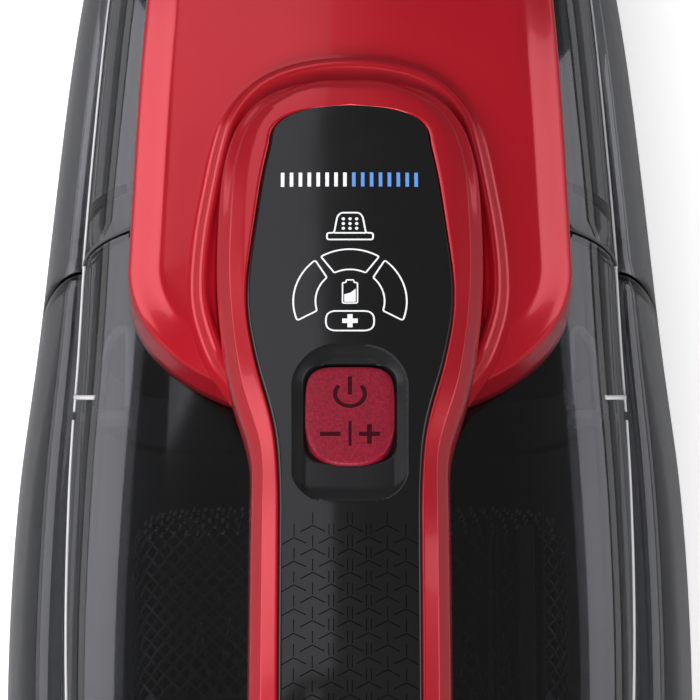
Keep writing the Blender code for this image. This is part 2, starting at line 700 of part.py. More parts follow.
def make_housing():
    stations = housing_stations()
    for name, finish, low, high in (
        ("motor_housing_upper", "red_gloss", SPLIT_HEIGHT + GAP / 2, 200.0),
        ("motor_housing_lower", "charcoal", -50.0, SPLIT_HEIGHT - GAP / 2),
    ):
        shell = loft(name, [body_ring(y) for y in stations], finish, ends="both")
        inner = [REAR_END + WALL + d for d in (0, 1.5, 4, 8, 13, 20, 30, 45, 65, 85)] + [BOWL_END + 10]
        hollow = [body_ring(y, -0.9 * WALL, 0.8 * WALL) for y in inner]
        boolean(shell, loft(f"{name}_hollow", hollow, ends="both"))
        keep = box(f"{name}_half", (-120, REAR_END - 40, low), (120, BOWL_END + 40, high))
        boolean(shell, keep, "INTERSECT")
    lower = parts.objects["motor_housing_lower"]
    vents = bmesh.new()
    for i in range(8):
        for k in range(2):
            made = bmesh.ops.create_cube(vents, size=1.0)["verts"]
            bmesh.ops.scale(vents, vec=(200, 3.2, 9), verts=made)
            bmesh.ops.translate(vents, vec=(0, BOWL_END - 30 - 6.4 * i, 31 + 12 * k - 3), verts=made)
    boolean(lower, from_bmesh("exhaust_slots", vents, None))
    boolean(lower, drum("jack_hole", 5.6, -10, 30, (0, REAR_END, 40), axis="-Y", steps=20))
    boolean(lower, box("release_hole", (-11 - GAP, BOWL_END - 37 - GAP, -5), (11 + GAP, BOWL_END - 26 + GAP, 9)))
    box("release_button", (-11, BOWL_END - 37, 0.9), (11, BOWL_END - 26, 6.0), "button_red", rounding=0.8)
    turns = [
        (3.0 * math.cos(a), BOWL_END - 31.5 + 3.0 * math.sin(a), 9.0 + 6.0 * a / 25.13)
        for a in [2 * math.pi * i / 10 for i in range(41)]
    ]
    tube("release_spring", turns, 0.45, "steel", sides=1)
    for side, word in ((1, "left"), (-1, "right")):
        drum(f"rear_foot_{word}", 7, 0, GROUND_GAP - GAP, (-side * 24, REAR_END + 36, 0), "rubber", steps=20)
    socket = pipe_ring("charge_jack", 2.6, 5.2, -9, 2.0, (0, REAR_END + 1.5, 40), "black_satin", axis="-Y", steps=20)
    drum("charge_pin", 0.9, -8, 0.0, (0, REAR_END + 1.5, 40), "steel", axis="-Y", steps=12)
    return socket


def plate(name, front, thickness, inset, finish):
    return loft(name, [body_ring(front - thickness, -inset), body_ring(front, -inset)], finish, ends="both")


def make_bulkhead():
    made = plate("bulkhead", BOWL_END - 1.0, BULKHEAD_THICKNESS, WALL + 0.7, "grey_plastic")
    boolean(made, drum("air_hole", 22, -20, 20, (0, BOWL_END, AXIS_HEIGHT), axis="-Y", steps=32))
    for number, (x, z) in enumerate(((-40, 62), (40, 62), (-26, 11), (26, 11)), 1):
        y = BOWL_END - 1.0 - BULKHEAD_THICKNESS
        boolean(made, drum(f"screw_hole_{number}", 1.9, -20, 20, (x, y, z), axis="-Y", steps=12))
        face = -BULKHEAD_THICKNESS
        boolean(made, drum(f"screw_sink_{number}", 3.8, face - 5, face + 1.8, (x, y, z), axis="-Y", steps=12))
        profile = [(0, 8.0), (1.6, 8.0), (1.6, face + 1.5), (3.4, face + 1.5), (3.0, face + GAP), (0, face + GAP)]
        turned(f"bulkhead_screw_{number}", profile, (x, y, z), "steel", "-Y", 12)


def make_motor():
    front = BOWL_END - 1.0 - BULKHEAD_THICKNESS - GAP
    seat = (0, front, AXIS_HEIGHT)
    inner = FAN_RADIUS + FAN_CLEARANCE
    outer = inner + SHROUD_WALL
    turned("fan_shroud", [
        (inner, FAN_DEPTH + 4), (outer, FAN_DEPTH + 4), (outer, 0), (16, 0), (16, SHROUD_WALL), (inner, SHROUD_WALL),
    ], seat, "grey_plastic", "-Y", 32)
    back = FAN_DEPTH + 2.6
    bore = SHAFT_RADIUS + GAP
    fan = turned("fan_impeller", [
        (bore, back), (FAN_RADIUS, back), (FAN_RADIUS, back - 1.4), (8, back - 2.4), (6, 4), (bore, 4),
    ], seat, "black_satin", "-Y", 32)
    blades = bmesh.new()
    for i in range(9):
        made = bmesh.ops.create_cube(blades, size=1.0)["verts"]
        bmesh.ops.scale(blades, vec=(FAN_RADIUS - 7.5, FAN_DEPTH - 3.4, 1.1), verts=made)
        bmesh.ops.rotate(blades, cent=(0, 0, 0), matrix=Matrix.Rotation(math.radians(28), 3, "Y"), verts=made)
        bmesh.ops.translate(blades, vec=(FAN_RADIUS / 2 + 2.3, 0, 0), verts=made)
        turn = Matrix.Rotation(math.radians(40 * i), 3, "Y")
        bmesh.ops.rotate(blades, cent=(0, 0, 0), matrix=turn, verts=made)
    bmesh.ops.translate(blades, vec=(0, front - back + FAN_DEPTH / 2 - 0.6, AXIS_HEIGHT), verts=blades.verts)
    boolean(fan, from_bmesh("blades", blades, None), "UNION")
    drum("motor_shaft", SHAFT_RADIUS, 2.6, 66, seat, "steel", "-Y", 16)
    start = FAN_DEPTH + 7
    end = start + MOTOR_LENGTH
    turned("motor_can", [
        (bore, end), (MOTOR_RADIUS, end), (MOTOR_RADIUS, start + 1), (MOTOR_RADIUS - 1, start), (bore, start),
    ], seat, "steel", "-Y", 32)
    turned("motor_end_bell", [
        (bore, end + 5), (MOTOR_RADIUS - 4, end + 5), (MOTOR_RADIUS - 1, end + GAP), (bore, end + GAP),
    ], seat, "black_satin", "-Y", 32)
    for word, where in (("front", 14.8), ("rear", MOTOR_LENGTH - 9)):
        pipe_ring(f"motor_mount_{word}", MOTOR_RADIUS + GAP, MOTOR_RADIUS + 4, start + where, start + where + 6, seat,
                  "rubber", "-Y", 32)
        ring_y = front - start - where - 3
        holder = box(f"motor_cradle_{word}", (-26, ring_y - 2.6, GROUND_GAP + WALL + 0.4), (26, ring_y + 2.6, 30),
                     "grey_plastic")
        boolean(holder, drum(f"cradle_cut_{word}", MOTOR_RADIUS + 4 + GAP, -12, 12, (0, ring_y, AXIS_HEIGHT),
                             axis="-Y", steps=32))
    for side, word in ((-1, "left"), (1, "right")):
        for height, level in ((22.0, "lower"), (22.0 + 2 * CELL_RADIUS + 0.8, "upper")):
            drum(f"cell_{level}_{word}", CELL_RADIUS, 3, 3 + CELL_LENGTH, (side * 40.6, front, height), "cell_wrap",
                 "-Y", 24)
    box("control_board", (-30, front - 62, 71.2), (30, front - 8, 72.8), "board_green")
    box("battery_bus", (-46, front - 70.1, 36), (46, front - 69.3, 41), "steel")
    for x, word, finish in ((-8, "red", "wire_red"), (8, "black", "wire_black")):
        low = AXIS_HEIGHT + 10
        points = [(x, front - end - 7, low), (x, front - end - 7, low + 14), (x, front - 58, 69.5)]
        tube(f"motor_lead_{word}", points, 1.1, finish, sides=1)


# ---------------------------------------------------------------- filter

def make_filter():
    front = BOWL_END + 0.9 + FRAME_THICKNESS
    frame = plate("filter_frame", front, FRAME_THICKNESS, WALL + 1.0, "grey_plastic")
    centre_z = (BASKET_TOP + BASKET_BOTTOM) / 2
    half_z = (BASKET_TOP - BASKET_BOTTOM) / 2
    opening = [rounded_ring(y, BASKET_HALF_WIDTH - 6, half_z - 6, centre_z) for y in (front - 20, front + 20)]
    boolean(frame, loft("frame_opening", opening, ends="both"))
    seal = plate("filter_seal", BOWL_END + 0.6, 1.2, WALL + 4, "rubber")
    hole = [rounded_ring(y, BASKET_HALF_WIDTH - 2, half_z - 2, centre_z) for y in (front - 20, front + 20)]
    boolean(seal, loft("seal_opening", hole, ends="both"))
    rings = []
    for d, inset in ((0, 0), (BASKET_LENGTH * 0.5, 0), (BASKET_LENGTH - 6, 0.6), (BASKET_LENGTH - 2, 2.4), (BASKET_LENGTH, 6)):
        rings.append(rounded_ring(front + GAP + d, BASKET_HALF_WIDTH - inset, half_z - inset, centre_z))
    basket = thicken(loft("pre_filter_basket", rings, "black_satin", ends="last"), 1.5)
    holes = bmesh.new()
    for i in range(8):
        for k in range(3):
            x, y = (i - 3.5) * 9.0, front + 11 + 10 * k
            made = bmesh.ops.create_cone(holes, cap_ends=True, segments=6, radius1=2, radius2=2, depth=120)["verts"]
            bmesh.ops.translate(holes, vec=(x, y, 45), verts=made)
    boolean(basket, from_bmesh("basket_holes", holes, None))
    count, pitch, deep = 11, 6.0, 18.0
    zig = [((i - count) * pitch / 2, front + 3.5 + (deep if i % 2 else 0.0)) for i in range(2 * count + 1)]
    outline = [(x, y + 1.6) for x, y in zig] + [(x, y) for x, y in reversed(zig)]
    rings = [[Vector((x, y, z)) for x, y in outline] for z in (centre_z - 22, centre_z + 22)]
    loft("pleated_filter", rings, "filter_cloth", ends="both")


# ---------------------------------------------------------------- nozzle fittings

def make_duct():
    rear, front = SEAM_Y - 20, SEAM_Y + 86
    rings = [rounded_ring(y, DUCT_HALF_WIDTH, DUCT_HALF_HEIGHT, DUCT_HEIGHT, 24) for y in (rear, SEAM_Y + 30, front)]
    duct = thicken(loft("inlet_duct", rings, "charcoal"), DUCT_WALL)
    pin_y, pin_z = rear - 1.6, DUCT_HEIGHT + DUCT_HALF_HEIGHT + 4.0
    for side in (-1, 1):
        low, high = sorted((side * (DUCT_HALF_WIDTH - 1.0), side * (DUCT_HALF_WIDTH + 1.6)))
        ear = box(f"flap_ear_{side}", (low, pin_y - 3, DUCT_HEIGHT), (high, pin_y + 12, pin_z + 3))
        boolean(duct, ear, "UNION")
    boolean(duct, drum("ear_bore", 1.0 + GAP, -60, 60, (0, pin_y, pin_z), axis="X", steps=12))
    flap = box("inlet_flap", (-DUCT_HALF_WIDTH + 1.6, rear - 2.4, DUCT_HEIGHT - DUCT_HALF_HEIGHT + 0.5),
               (DUCT_HALF_WIDTH - 1.6, rear - 0.8, pin_z - 1), "rubber")
    barrel = meshed(drum("flap_barrel", 2.5, -DUCT_HALF_WIDTH + 1.6, DUCT_HALF_WIDTH - 1.6, (0, pin_y, pin_z),
                         axis="X", steps=16))
    boolean(flap, barrel, "UNION")
    boolean(flap, drum("flap_bore", 1.0 + GAP, -60, 60, (0, pin_y, pin_z), axis="X", steps=12))
    reach = DUCT_HALF_WIDTH + 3
    drum("flap_pin", 1.0, -reach, reach, (0, pin_y, pin_z), "steel", "X", 12)
    rib = plate("nozzle_bulkhead", SEAM_Y + 9, 2.2, WALL + 0.8, "charcoal")
    hole = [
        rounded_ring(y, DUCT_HALF_WIDTH + GAP, DUCT_HALF_HEIGHT + GAP, DUCT_HEIGHT, 24)
        for y in (SEAM_Y - 60, SEAM_Y + 60)
    ]
    boolean(rib, loft("rib_hole", hole, ends="both"))


def make_crevice():
    front = TIP - 15
    rings = [
        rounded_ring(y, CREVICE_HALF_WIDTH - slim, CREVICE_HALF_HEIGHT - slim / 2, CREVICE_HEIGHT - slim / 2, 20)
        for y, slim in ((front - CREVICE_LENGTH, 0), (front - 40, 0), (front, 2.0))
    ]
    thicken(loft("crevice_tool", rings, "charcoal"), CREVICE_WALL)
    low = CREVICE_HEIGHT - CREVICE_HALF_HEIGHT
    floor = bottom_height(TIP - 42) + WALL + GAP
    guide = box("crevice_guide", (-CREVICE_HALF_WIDTH - 3, TIP - 92, floor),
                (CREVICE_HALF_WIDTH + 3, TIP - 64, low + 6), "charcoal")
    slot = [
        rounded_ring(y, CREVICE_HALF_WIDTH + GAP, CREVICE_HALF_HEIGHT + GAP, CREVICE_HEIGHT, 20)
        for y in (TIP - 120, TIP - 30)
    ]
    boolean(guide, loft("guide_slot", slot, ends="both"))
    boolean(guide, box("guide_top", (-CREVICE_HALF_WIDTH - GAP, TIP - 120, CREVICE_HEIGHT),
                       (CREVICE_HALF_WIDTH + GAP, TIP - 30, 60)))
    for side, word in ((-1, "left"), (1, "right")):
        drum(f"front_foot_{word}", 7, 0, GROUND_GAP - GAP, (side * 26, SEAM_Y + 26, 0), "rubber", steps=20)


def make_brush():
    y, z = brush_hinge()
    slope = math.atan2(top_height(y - 30) - top_height(y), 30)
    back = Vector((0, -math.cos(slope), math.sin(slope)))
    up = Vector((0, math.sin(slope), math.cos(slope)))

    def block(name, near, far, low, high, half_x, finish, flare=0.0):
        rings = []
        for reach, more in ((near, 0.0), (far, flare)):
            centre = Vector((0, y, z)) + back * reach
            rings.append([
                centre + Vector((sx * (half_x + more), 0, 0)) + up * (high + more / 2 if sz > 0 else low)
                for sx, sz in ((-1, -1), (1, -1), (1, 1), (-1, 1))
            ])
        return loft(name, rings, finish, ends="both")

    arm = round_edges(block("brush_arm", 1.2, BRUSH_PLATE_LENGTH, -2.2, 2.2, BRUSH_HALF_WIDTH, "charcoal"), 0.6)
    barrel = meshed(drum("brush_barrel", 2.9, -BRUSH_HALF_WIDTH, BRUSH_HALF_WIDTH, (0, y, z), axis="X", steps=16))
    boolean(arm, barrel, "UNION")
    boolean(arm, drum("arm_bore", BRUSH_PIN_RADIUS + GAP, -60, 60, (0, y, z), axis="X", steps=12))
    start = BRUSH_PLATE_LENGTH + GAP
    block("brush_bristles", start, start + BRUSH_BRISTLE_LENGTH, -1.4, 1.4, BRUSH_HALF_WIDTH - 2, "rubber", 1.0)
    reach = BRUSH_HALF_WIDTH + 4.6
    drum("brush_pin", BRUSH_PIN_RADIUS, -reach, reach, (0, y, z), "steel", "X", 12)


def pivot(name, place_mm, *children):
    """An empty on a joint's axis that carries the pieces moving about it."""
    empty = bpy.data.objects.new(name, None)
    empty.location = Vector(place_mm) * MM
    parts.objects.link(empty)
    bpy.context.view_layer.update()
    for child in children:
        obj = parts.objects[child]
        obj.parent = empty
        obj.matrix_parent_inverse = empty.matrix_world.inverted()


def make_pivots():
    pivot("brush_axis", (0, *brush_hinge()), "brush_arm", "brush_bristles")
    pivot("flap_axis", (0, SEAM_Y - 21.6, DUCT_HEIGHT + DUCT_HALF_HEIGHT + 4.0), "inlet_flap")
    pivot("fan_axis", (0, BOWL_END - 8, AXIS_HEIGHT), "fan_impeller", "motor_shaft")
    pivot("button_seat", (0, *button_seat()[:2]), "power_button")
    pivot("release_seat", (0, BOWL_END - 31.5, 0.9), "release_button")
    pivot("crevice_seat", (0, TIP - 15, CREVICE_HEIGHT), "crevice_tool")
    pivot("filter_seat", (0, BOWL_END, AXIS_HEIGHT), "filter_frame", "filter_seal", "pre_filter_basket",
          "pleated_filter")


clear_scene()
make_nozzle()
make_nozzle_lip()
make_dust_bowl()
make_spine()
make_handle()
make_controls()
make_housing()
make_bulkhead()
make_motor()
make_filter()
make_duct()
make_crevice()
make_brush()
make_pivots()
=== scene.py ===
import math

import bmesh
import bpy
import numpy as np
from mathutils import Matrix, Vector


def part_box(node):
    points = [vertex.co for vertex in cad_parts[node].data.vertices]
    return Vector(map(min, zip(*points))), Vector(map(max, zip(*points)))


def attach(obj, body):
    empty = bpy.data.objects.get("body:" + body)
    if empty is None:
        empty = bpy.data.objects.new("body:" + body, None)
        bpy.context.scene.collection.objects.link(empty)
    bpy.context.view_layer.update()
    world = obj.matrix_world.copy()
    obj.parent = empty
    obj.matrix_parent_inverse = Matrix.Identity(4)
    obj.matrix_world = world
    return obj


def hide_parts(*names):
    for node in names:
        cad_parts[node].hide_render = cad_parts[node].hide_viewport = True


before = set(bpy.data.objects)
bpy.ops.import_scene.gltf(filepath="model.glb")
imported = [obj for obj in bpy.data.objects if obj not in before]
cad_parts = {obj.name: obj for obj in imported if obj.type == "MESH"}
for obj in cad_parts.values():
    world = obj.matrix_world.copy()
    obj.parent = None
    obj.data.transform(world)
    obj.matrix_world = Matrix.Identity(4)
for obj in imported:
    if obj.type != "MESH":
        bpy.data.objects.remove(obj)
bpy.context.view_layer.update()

# Sizes in millimetres, along the frame's own axes
MM = 0.001
SEAM_Y = 2.0               # where the CAD's seam meets the top line
SEAM = SEAM_Y - 3.4        # where the seam is drawn
BOWL_END = -110.0
REAR_END = -215.0
TIP = 215.0
NOSE_END = 18.5
BODY_TOP = 85.0
SHELL = 2.3
SPINE_REAR = SEAM_Y - 50.6
SPINE_FRONT = SEAM_Y + 163.0
SPINE_RISE = 15.0
HANDLE_TOP = 137.0
GRIP_DEPTH = 23.0
NOSE_FLOOR = 101.5
GRIP_HALF = 19.25
NOSE_HALF = 26.2
INLAY_GRIP_HALF = 13.4
INLAY_NOSE_HALF = 20.4
BUTTON_Y = -58.7
RECESS_Y = BUTTON_Y - 2.3  # the dished recess round the button: its middle, half sizes, and the bow of its ends
RECESS_HALF_X, RECESS_HALF_Y, RECESS_BOW = 11.1, 17.2, 0.9
HINGE_Y = 200.0            # the brush's pin
TAB_Y = -36.2              # the small tabs on the bowl's crease
SPLIT_HEIGHT = 50.0        # where the two halves of the housing meet
WIDEST, SHOULDER_TOP = 70.0, 64.0
DOME_POWER = 0.87          # how full the body's upper dome is
GRIP_POWER = 0.62          # the same for the handle
BASKET_POWER = 6.5         # and for the basket's ring


# ------------------------------------------------------------------ the body's lines

def monotone(table, y):
    """The value at y on a curve through (y, value) points that never swings past them."""
    points = sorted(table)
    if y <= points[0][0]:
        return points[0][1]
    if y >= points[-1][0]:
        return points[-1][1]
    steps = [(b[0] - a[0], (b[1] - a[1]) / (b[0] - a[0])) for a, b in zip(points, points[1:])]
    slopes = [steps[0][1]]
    for (_, before), (_, after) in zip(steps, steps[1:]):
        slopes.append(0.0 if before * after <= 0 else 2 * before * after / (before + after))
    slopes.append(steps[-1][1])
    k = max(i for i, point in enumerate(points[:-1]) if point[0] <= y)
    width = steps[k][0]
    t = (y - points[k][0]) / width
    return (
        (2 * t**3 - 3 * t**2 + 1) * points[k][1]
        + (t**3 - 2 * t**2 + t) * width * slopes[k]
        + (3 * t**2 - 2 * t**3) * points[k + 1][1]
        + (t**3 - t**2) * width * slopes[k + 1]
    )


class Line:
    """A fair line along Y through (y, value) pairs. ease rounds its knots, and hard is where that starts."""

    def __init__(self, table, ease=7.0, hard=None, soft_end=None):
        first, last = min(p[0] for p in table), max(p[0] for p in table)
        self.ys = np.arange(first, last + 0.25, 0.25)
        raw = np.array([monotone(table, y) for y in self.ys])
        reach = int(ease * 12)
        kernel = np.exp(-0.5 * (np.arange(-reach, reach + 1) * 0.25 / ease) ** 2)
        kernel /= kernel.sum()
        before = raw[0] - (raw[1] - raw[0]) * np.arange(reach, 0, -1)
        after = raw[-1] + (raw[-1] - raw[-2]) * np.arange(1, reach + 1)
        smooth = np.convolve(np.concatenate([before, raw, after]), kernel, mode="valid")
        share = np.ones_like(raw)
        if hard is not None:
            share *= np.clip((self.ys - hard) / 20.0, 0, 1) ** 2
        if soft_end is not None:
            share *= np.clip((soft_end - self.ys) / 12.0, 0, 1) ** 2
        self.values = raw * (1 - share) + smooth * share

    def __call__(self, y):
        return float(np.interp(y, self.ys, self.values))


half_width = Line([
    (REAR_END, WIDEST - 50), (REAR_END + 4, WIDEST - 36), (REAR_END + 12, WIDEST - 25.5),
    (REAR_END + 25, WIDEST - 15.5), (REAR_END + 50, WIDEST - 6), (REAR_END + 80, WIDEST - 1.5),
    (BOWL_END + 20, WIDEST), (BOWL_END + 60, WIDEST - 1.1), (SEAM_Y - 7, WIDEST - 5.0), (SEAM_Y + 38, WIDEST - 9),
    (SEAM_Y + 61, WIDEST - 11.4), (TIP - 45, 42.5), (TIP, 36.0),
], 9.0, REAR_END + 14)
shoulder_step = Line([
    (REAR_END, 3.0), (REAR_END + 30, 9.0), (BOWL_END, 12.0), (SEAM_Y - 38, 11.7), (SEAM_Y, 9.8),
    (SEAM_Y + 50, 8.8), (TIP - 60, 6.0), (TIP, 3.5),
], 9.0, REAR_END + 14)
top_height = Line([
    (REAR_END, BODY_TOP - 38), (REAR_END + 4, BODY_TOP - 24), (REAR_END + 12, BODY_TOP - 11),
    (REAR_END + 25, BODY_TOP - 4), (REAR_END + 45, BODY_TOP - 1), (BOWL_END, BODY_TOP - 0.5),
    (SEAM_Y - 30, BODY_TOP), (SEAM_Y + 20, BODY_TOP), (SEAM_Y + 60, BODY_TOP - 5),
    (SEAM_Y + 100, BODY_TOP - 16), (TIP - 45, 47.5), (TIP, 35.0),
], 9.0, REAR_END + 14)
shoulder_height = Line([
    (REAR_END, SHOULDER_TOP - 20), (REAR_END + 12, SHOULDER_TOP - 7), (REAR_END + 35, SHOULDER_TOP - 2),
    (BOWL_END, SHOULDER_TOP), (SEAM_Y + 40, SHOULDER_TOP), (SEAM_Y + 100, SHOULDER_TOP - 11), (TIP - 45, 38.0),
    (TIP, 27.5),
], 9.0, REAR_END + 14)
widest_height = Line([
    (REAR_END, 38.0), (BOWL_END, 40.0), (SEAM_Y + 30, 40.0), (TIP - 60, 26.0), (TIP, 19.0),
], 9.0)
bottom_height = Line([
    (REAR_END, 33.8), (REAR_END + 4, 16.8), (REAR_END + 12, 5.3), (REAR_END + 20, 1.8),
    (SEAM_Y + 60, 1.8), (TIP - 60, 4.3), (TIP, 7.3),
], 6.0, REAR_END + 14)
lean = Line([
    (BOWL_END, 0.0), (BOWL_END + 30, 0.0), (SEAM_Y, 0.32), (SEAM_Y + 60, 0.34), (TIP - 50, 0.6), (TIP, 0.9),
], 5.0)


def power(value, exponent):
    return math.copysign(abs(value) ** exponent, value)


def half_section(y, grow, dome=26, side=12, low=12, flat_steps=4):
    """(x, z) down one side of the body, from the top centre line to the bottom centre line."""
    wide = half_width(y) + grow
    shoulder = half_width(y) - shoulder_step(y) + grow
    top, bottom = top_height(y) + grow, bottom_height(y) - grow
    middle, ledge = widest_height(y), shoulder_height(y) + 0.6 * grow
    flat = 0.55 * wide
    points = []
    for i in range(dome + 1):
        a = math.pi / 2 * i / dome
        points.append((shoulder * power(math.sin(a), DOME_POWER),
                       ledge + (top - ledge) * power(math.cos(a), DOME_POWER)))
    for i in range(1, side + 1):
        a = math.pi / 2 * i / side
        points.append((shoulder + (wide - shoulder) * math.sin(a), middle + (ledge - middle) * math.cos(a)))
    for i in range(1, low + 1):
        a = math.pi / 2 * i / low
        points.append((
            flat + (wide - flat) * power(math.cos(a), 0.9), middle - (middle - bottom) * power(math.sin(a), 0.9)
        ))
    for i in range(1, flat_steps + 1):
        points.append((flat * (1 - i / flat_steps), bottom))
    return points


def body_ring(y, grow=0.0):
    """The body's outline at a station, all the way round, leaning as the seam does."""
    half = half_section(y, grow)
    ring = half + [(-x, z) for x, z in reversed(half[1:-1])]
    top, slant = top_height(y), lean(y)
    return [Vector((x, y + slant * (z - top), z)) for x, z in ring]


def dome_height(x, y):
    """The height of the body's upper dome."""
    wide = half_width(y) - shoulder_step(y)
    share = min(1.0, abs(x) / wide) ** (1 / DOME_POWER)
    return shoulder_height(y) + (top_height(y) - shoulder_height(y)) * (1 - share**2) ** (DOME_POWER / 2)


# ------------------------------------------------------------------ handle's lines

handle_top = Line([
    (REAR_END + 4, HANDLE_TOP - 52), (REAR_END + 7, HANDLE_TOP - 38), (REAR_END + 20, HANDLE_TOP - 17.5),
    (REAR_END + 50, HANDLE_TOP - 3.5), (REAR_END + 88, HANDLE_TOP), (BOWL_END + 12, HANDLE_TOP - 2),
    (BOWL_END + 36, HANDLE_TOP - 6.5), (BOWL_END + 51, HANDLE_TOP - 10), (SEAM_Y - 35, HANDLE_TOP - 18.5),
    (NOSE_END - 7.5, HANDLE_TOP - 28.6), (NOSE_END - 3.5, HANDLE_TOP - 29.6),
    (NOSE_END - 1, HANDLE_TOP - 31.2), (NOSE_END, HANDLE_TOP - 33),
], 7.0, REAR_END + 14, NOSE_END - 6)
UNDER = HANDLE_TOP - GRIP_DEPTH
handle_under = Line([
    (REAR_END + 38, top_height(REAR_END + 38) - 8), (REAR_END + 42, UNDER - 22), (REAR_END + 48, UNDER - 10),
    (REAR_END + 58, UNDER - 3), (REAR_END + 88, UNDER), (BOWL_END + 30, UNDER - 4.5),
    (SEAM_Y - 58, NOSE_FLOOR), (NOSE_END - 1.5, NOSE_FLOOR), (NOSE_END, NOSE_FLOOR + 0.6),
], 5.0, REAR_END + 52, NOSE_END - 6)
handle_half = Line([
    (REAR_END + 4, GRIP_HALF - 6), (REAR_END + 10, GRIP_HALF - 1), (REAR_END + 25, GRIP_HALF + 1),
    (REAR_END + 60, GRIP_HALF), (BOWL_END + 36, GRIP_HALF - 0.1), (BOWL_END + 42, GRIP_HALF - 0.3),
    (BOWL_END + 48.3, GRIP_HALF + 0.9), (SEAM_Y - 54, NOSE_HALF - 3.0), (SEAM_Y - 42, NOSE_HALF - 1.2),
    (SEAM_Y - 27, NOSE_HALF), (SEAM_Y - 7, NOSE_HALF - 0.6),
    (NOSE_END - 13.5, NOSE_HALF - 2.6), (NOSE_END - 7.5, NOSE_HALF - 5.8),
    (NOSE_END - 3.5, NOSE_HALF - 10), (NOSE_END - 1.2, NOSE_HALF - 15), (NOSE_END, NOSE_HALF - 20),
], 4.0, REAR_END + 14, NOSE_END - 8)
inlay_wide = Line([
    (REAR_END + 34, INLAY_GRIP_HALF), (SEAM_Y - 78, INLAY_GRIP_HALF), (SEAM_Y - 72, INLAY_GRIP_HALF + 0.3),
    (SEAM_Y - 67, INLAY_GRIP_HALF + 0.6), (SEAM_Y - 63.7, INLAY_GRIP_HALF + 1.1),
    (SEAM_Y - 57.6, INLAY_GRIP_HALF + 2.4), (SEAM_Y - 51.6, INLAY_GRIP_HALF + 4.1),
    (SEAM_Y - 45.2, INLAY_GRIP_HALF + 5.4), (SEAM_Y - 38.6, INLAY_NOSE_HALF - 0.5),
    (SEAM_Y - 32, INLAY_NOSE_HALF - 0.2), (SEAM_Y - 27.4, INLAY_NOSE_HALF - 0.6), (SEAM_Y - 16, INLAY_NOSE_HALF - 2.0),
    (SEAM_Y - 6, INLAY_NOSE_HALF - 3.3), (NOSE_END - 15.3, INLAY_NOSE_HALF - 4.8),
], 3.0)
INLAY_REAR, INLAY_FRONT = REAR_END + 34.0, NOSE_END - 7.3


def inlay_half(y):
    """Half the width of the black inlay, which closes to a round end at both ends."""
    if y >= INLAY_FRONT or y <= INLAY_REAR:
        return 0.0
    if y > INLAY_FRONT - 8:
        return inlay_wide(y) * max(1 - ((y - INLAY_FRONT + 8) / 8) ** 2.6, 0.0) ** 0.42
    if y < INLAY_REAR + 8:
        return inlay_wide(y) * max(1 - ((INLAY_REAR + 8 - y) / 8) ** 2.6, 0.0) ** 0.42
    return inlay_wide(y)


def handle_floor(y):
    return top_height(y) - 8 if y < REAR_END + 38 else handle_under(y)


def handle_surface(x, y):
    """The height of the handle's rounded top, as if it had no rim and no recess."""
    low, top = handle_floor(y), handle_top(y)
    if y < REAR_END + 50:
        low = top - GRIP_DEPTH
    share = min(1.0, abs(x) / handle_half(y))
    return (top + low) / 2 + (top - low) / 2 * (1 - share ** (2 / GRIP_POWER)) ** (GRIP_POWER / 2)


# ------------------------------------------------------------------ finishes

def node_of(tree, kind, **values):
    node = tree.nodes.new(kind)
    for key, value in values.items():
        setattr(node, key, value)
    return node


def set_inputs(node, values):
    for key, value in values.items():
        node.inputs[key].default_value = value


def noise(tree, place, size_mm, detail=3.0, roughness=0.5):
    made = node_of(tree, "ShaderNodeTexNoise")
    set_inputs(made, {"Scale": 1000.0 / size_mm, "Detail": detail, "Roughness": roughness})
    tree.links.new(place, made.inputs["Vector"])
    return made.outputs["Fac"]


def ranged(tree, value, low, high, from_low=0.3, from_high=0.7):
    made = node_of(tree, "ShaderNodeMapRange")
    set_inputs(made, {"From Min": from_low, "From Max": from_high, "To Min": low, "To Max": high})
    tree.links.new(value, made.inputs["Value"])
    return made.outputs["Result"]


def blend_colours(tree, factor, first, second):
    made = node_of(tree, "ShaderNodeMix", data_type="RGBA")
    set_inputs(made, {6: (*first, 1.0), 7: (*second, 1.0)})
    tree.links.new(factor, made.inputs[0])
    return made.outputs[2]


def bump(tree, height, strength, depth_mm):
    made = node_of(tree, "ShaderNodeBump")
    set_inputs(made, {"Strength": strength, "Distance": depth_mm * MM})
    tree.links.new(height, made.inputs["Height"])
    return made.outputs["Normal"]


def blank(name):
    made = bpy.data.materials.new(name)
    made.use_nodes = True
    tree = made.node_tree
    shader = tree.nodes["Principled BSDF"]
    place = node_of(tree, "ShaderNodeTexCoord").outputs["Object"]
    return made, tree, shader, place


def plastic(name, colour, shade, rough, swing, grain=0.5, relief=0.02, patch=22.0, coat=0.0, metallic=0.0,
            sheen=0.0, specular=0.5):
    """Moulded stock: a slow drift of colour, uneven polish, and a fine grain in the surface."""
    made, tree, shader, place = blank(name)
    drift = noise(tree, place, patch, 4.0)
    colour_out = blend_colours(tree, ranged(tree, drift, 0.0, 1.0), colour, shade)
    tree.links.new(colour_out, shader.inputs["Base Color"])
    polish = noise(tree, place, patch * 0.35, 5.0, 0.6)
    tree.links.new(ranged(tree, polish, rough - swing, rough + swing), shader.inputs["Roughness"])
    normal = bump(tree, noise(tree, place, grain, 2.0), 0.6, relief)
    tree.links.new(normal, shader.inputs["Normal"])
    set_inputs(shader, {"Metallic": metallic, "Specular IOR Level": specular})
    if coat:
        set_inputs(shader, {"Coat Weight": coat, "Coat Roughness": 0.04})
    if sheen:
        set_inputs(shader, {"Sheen Weight": sheen})
    return made


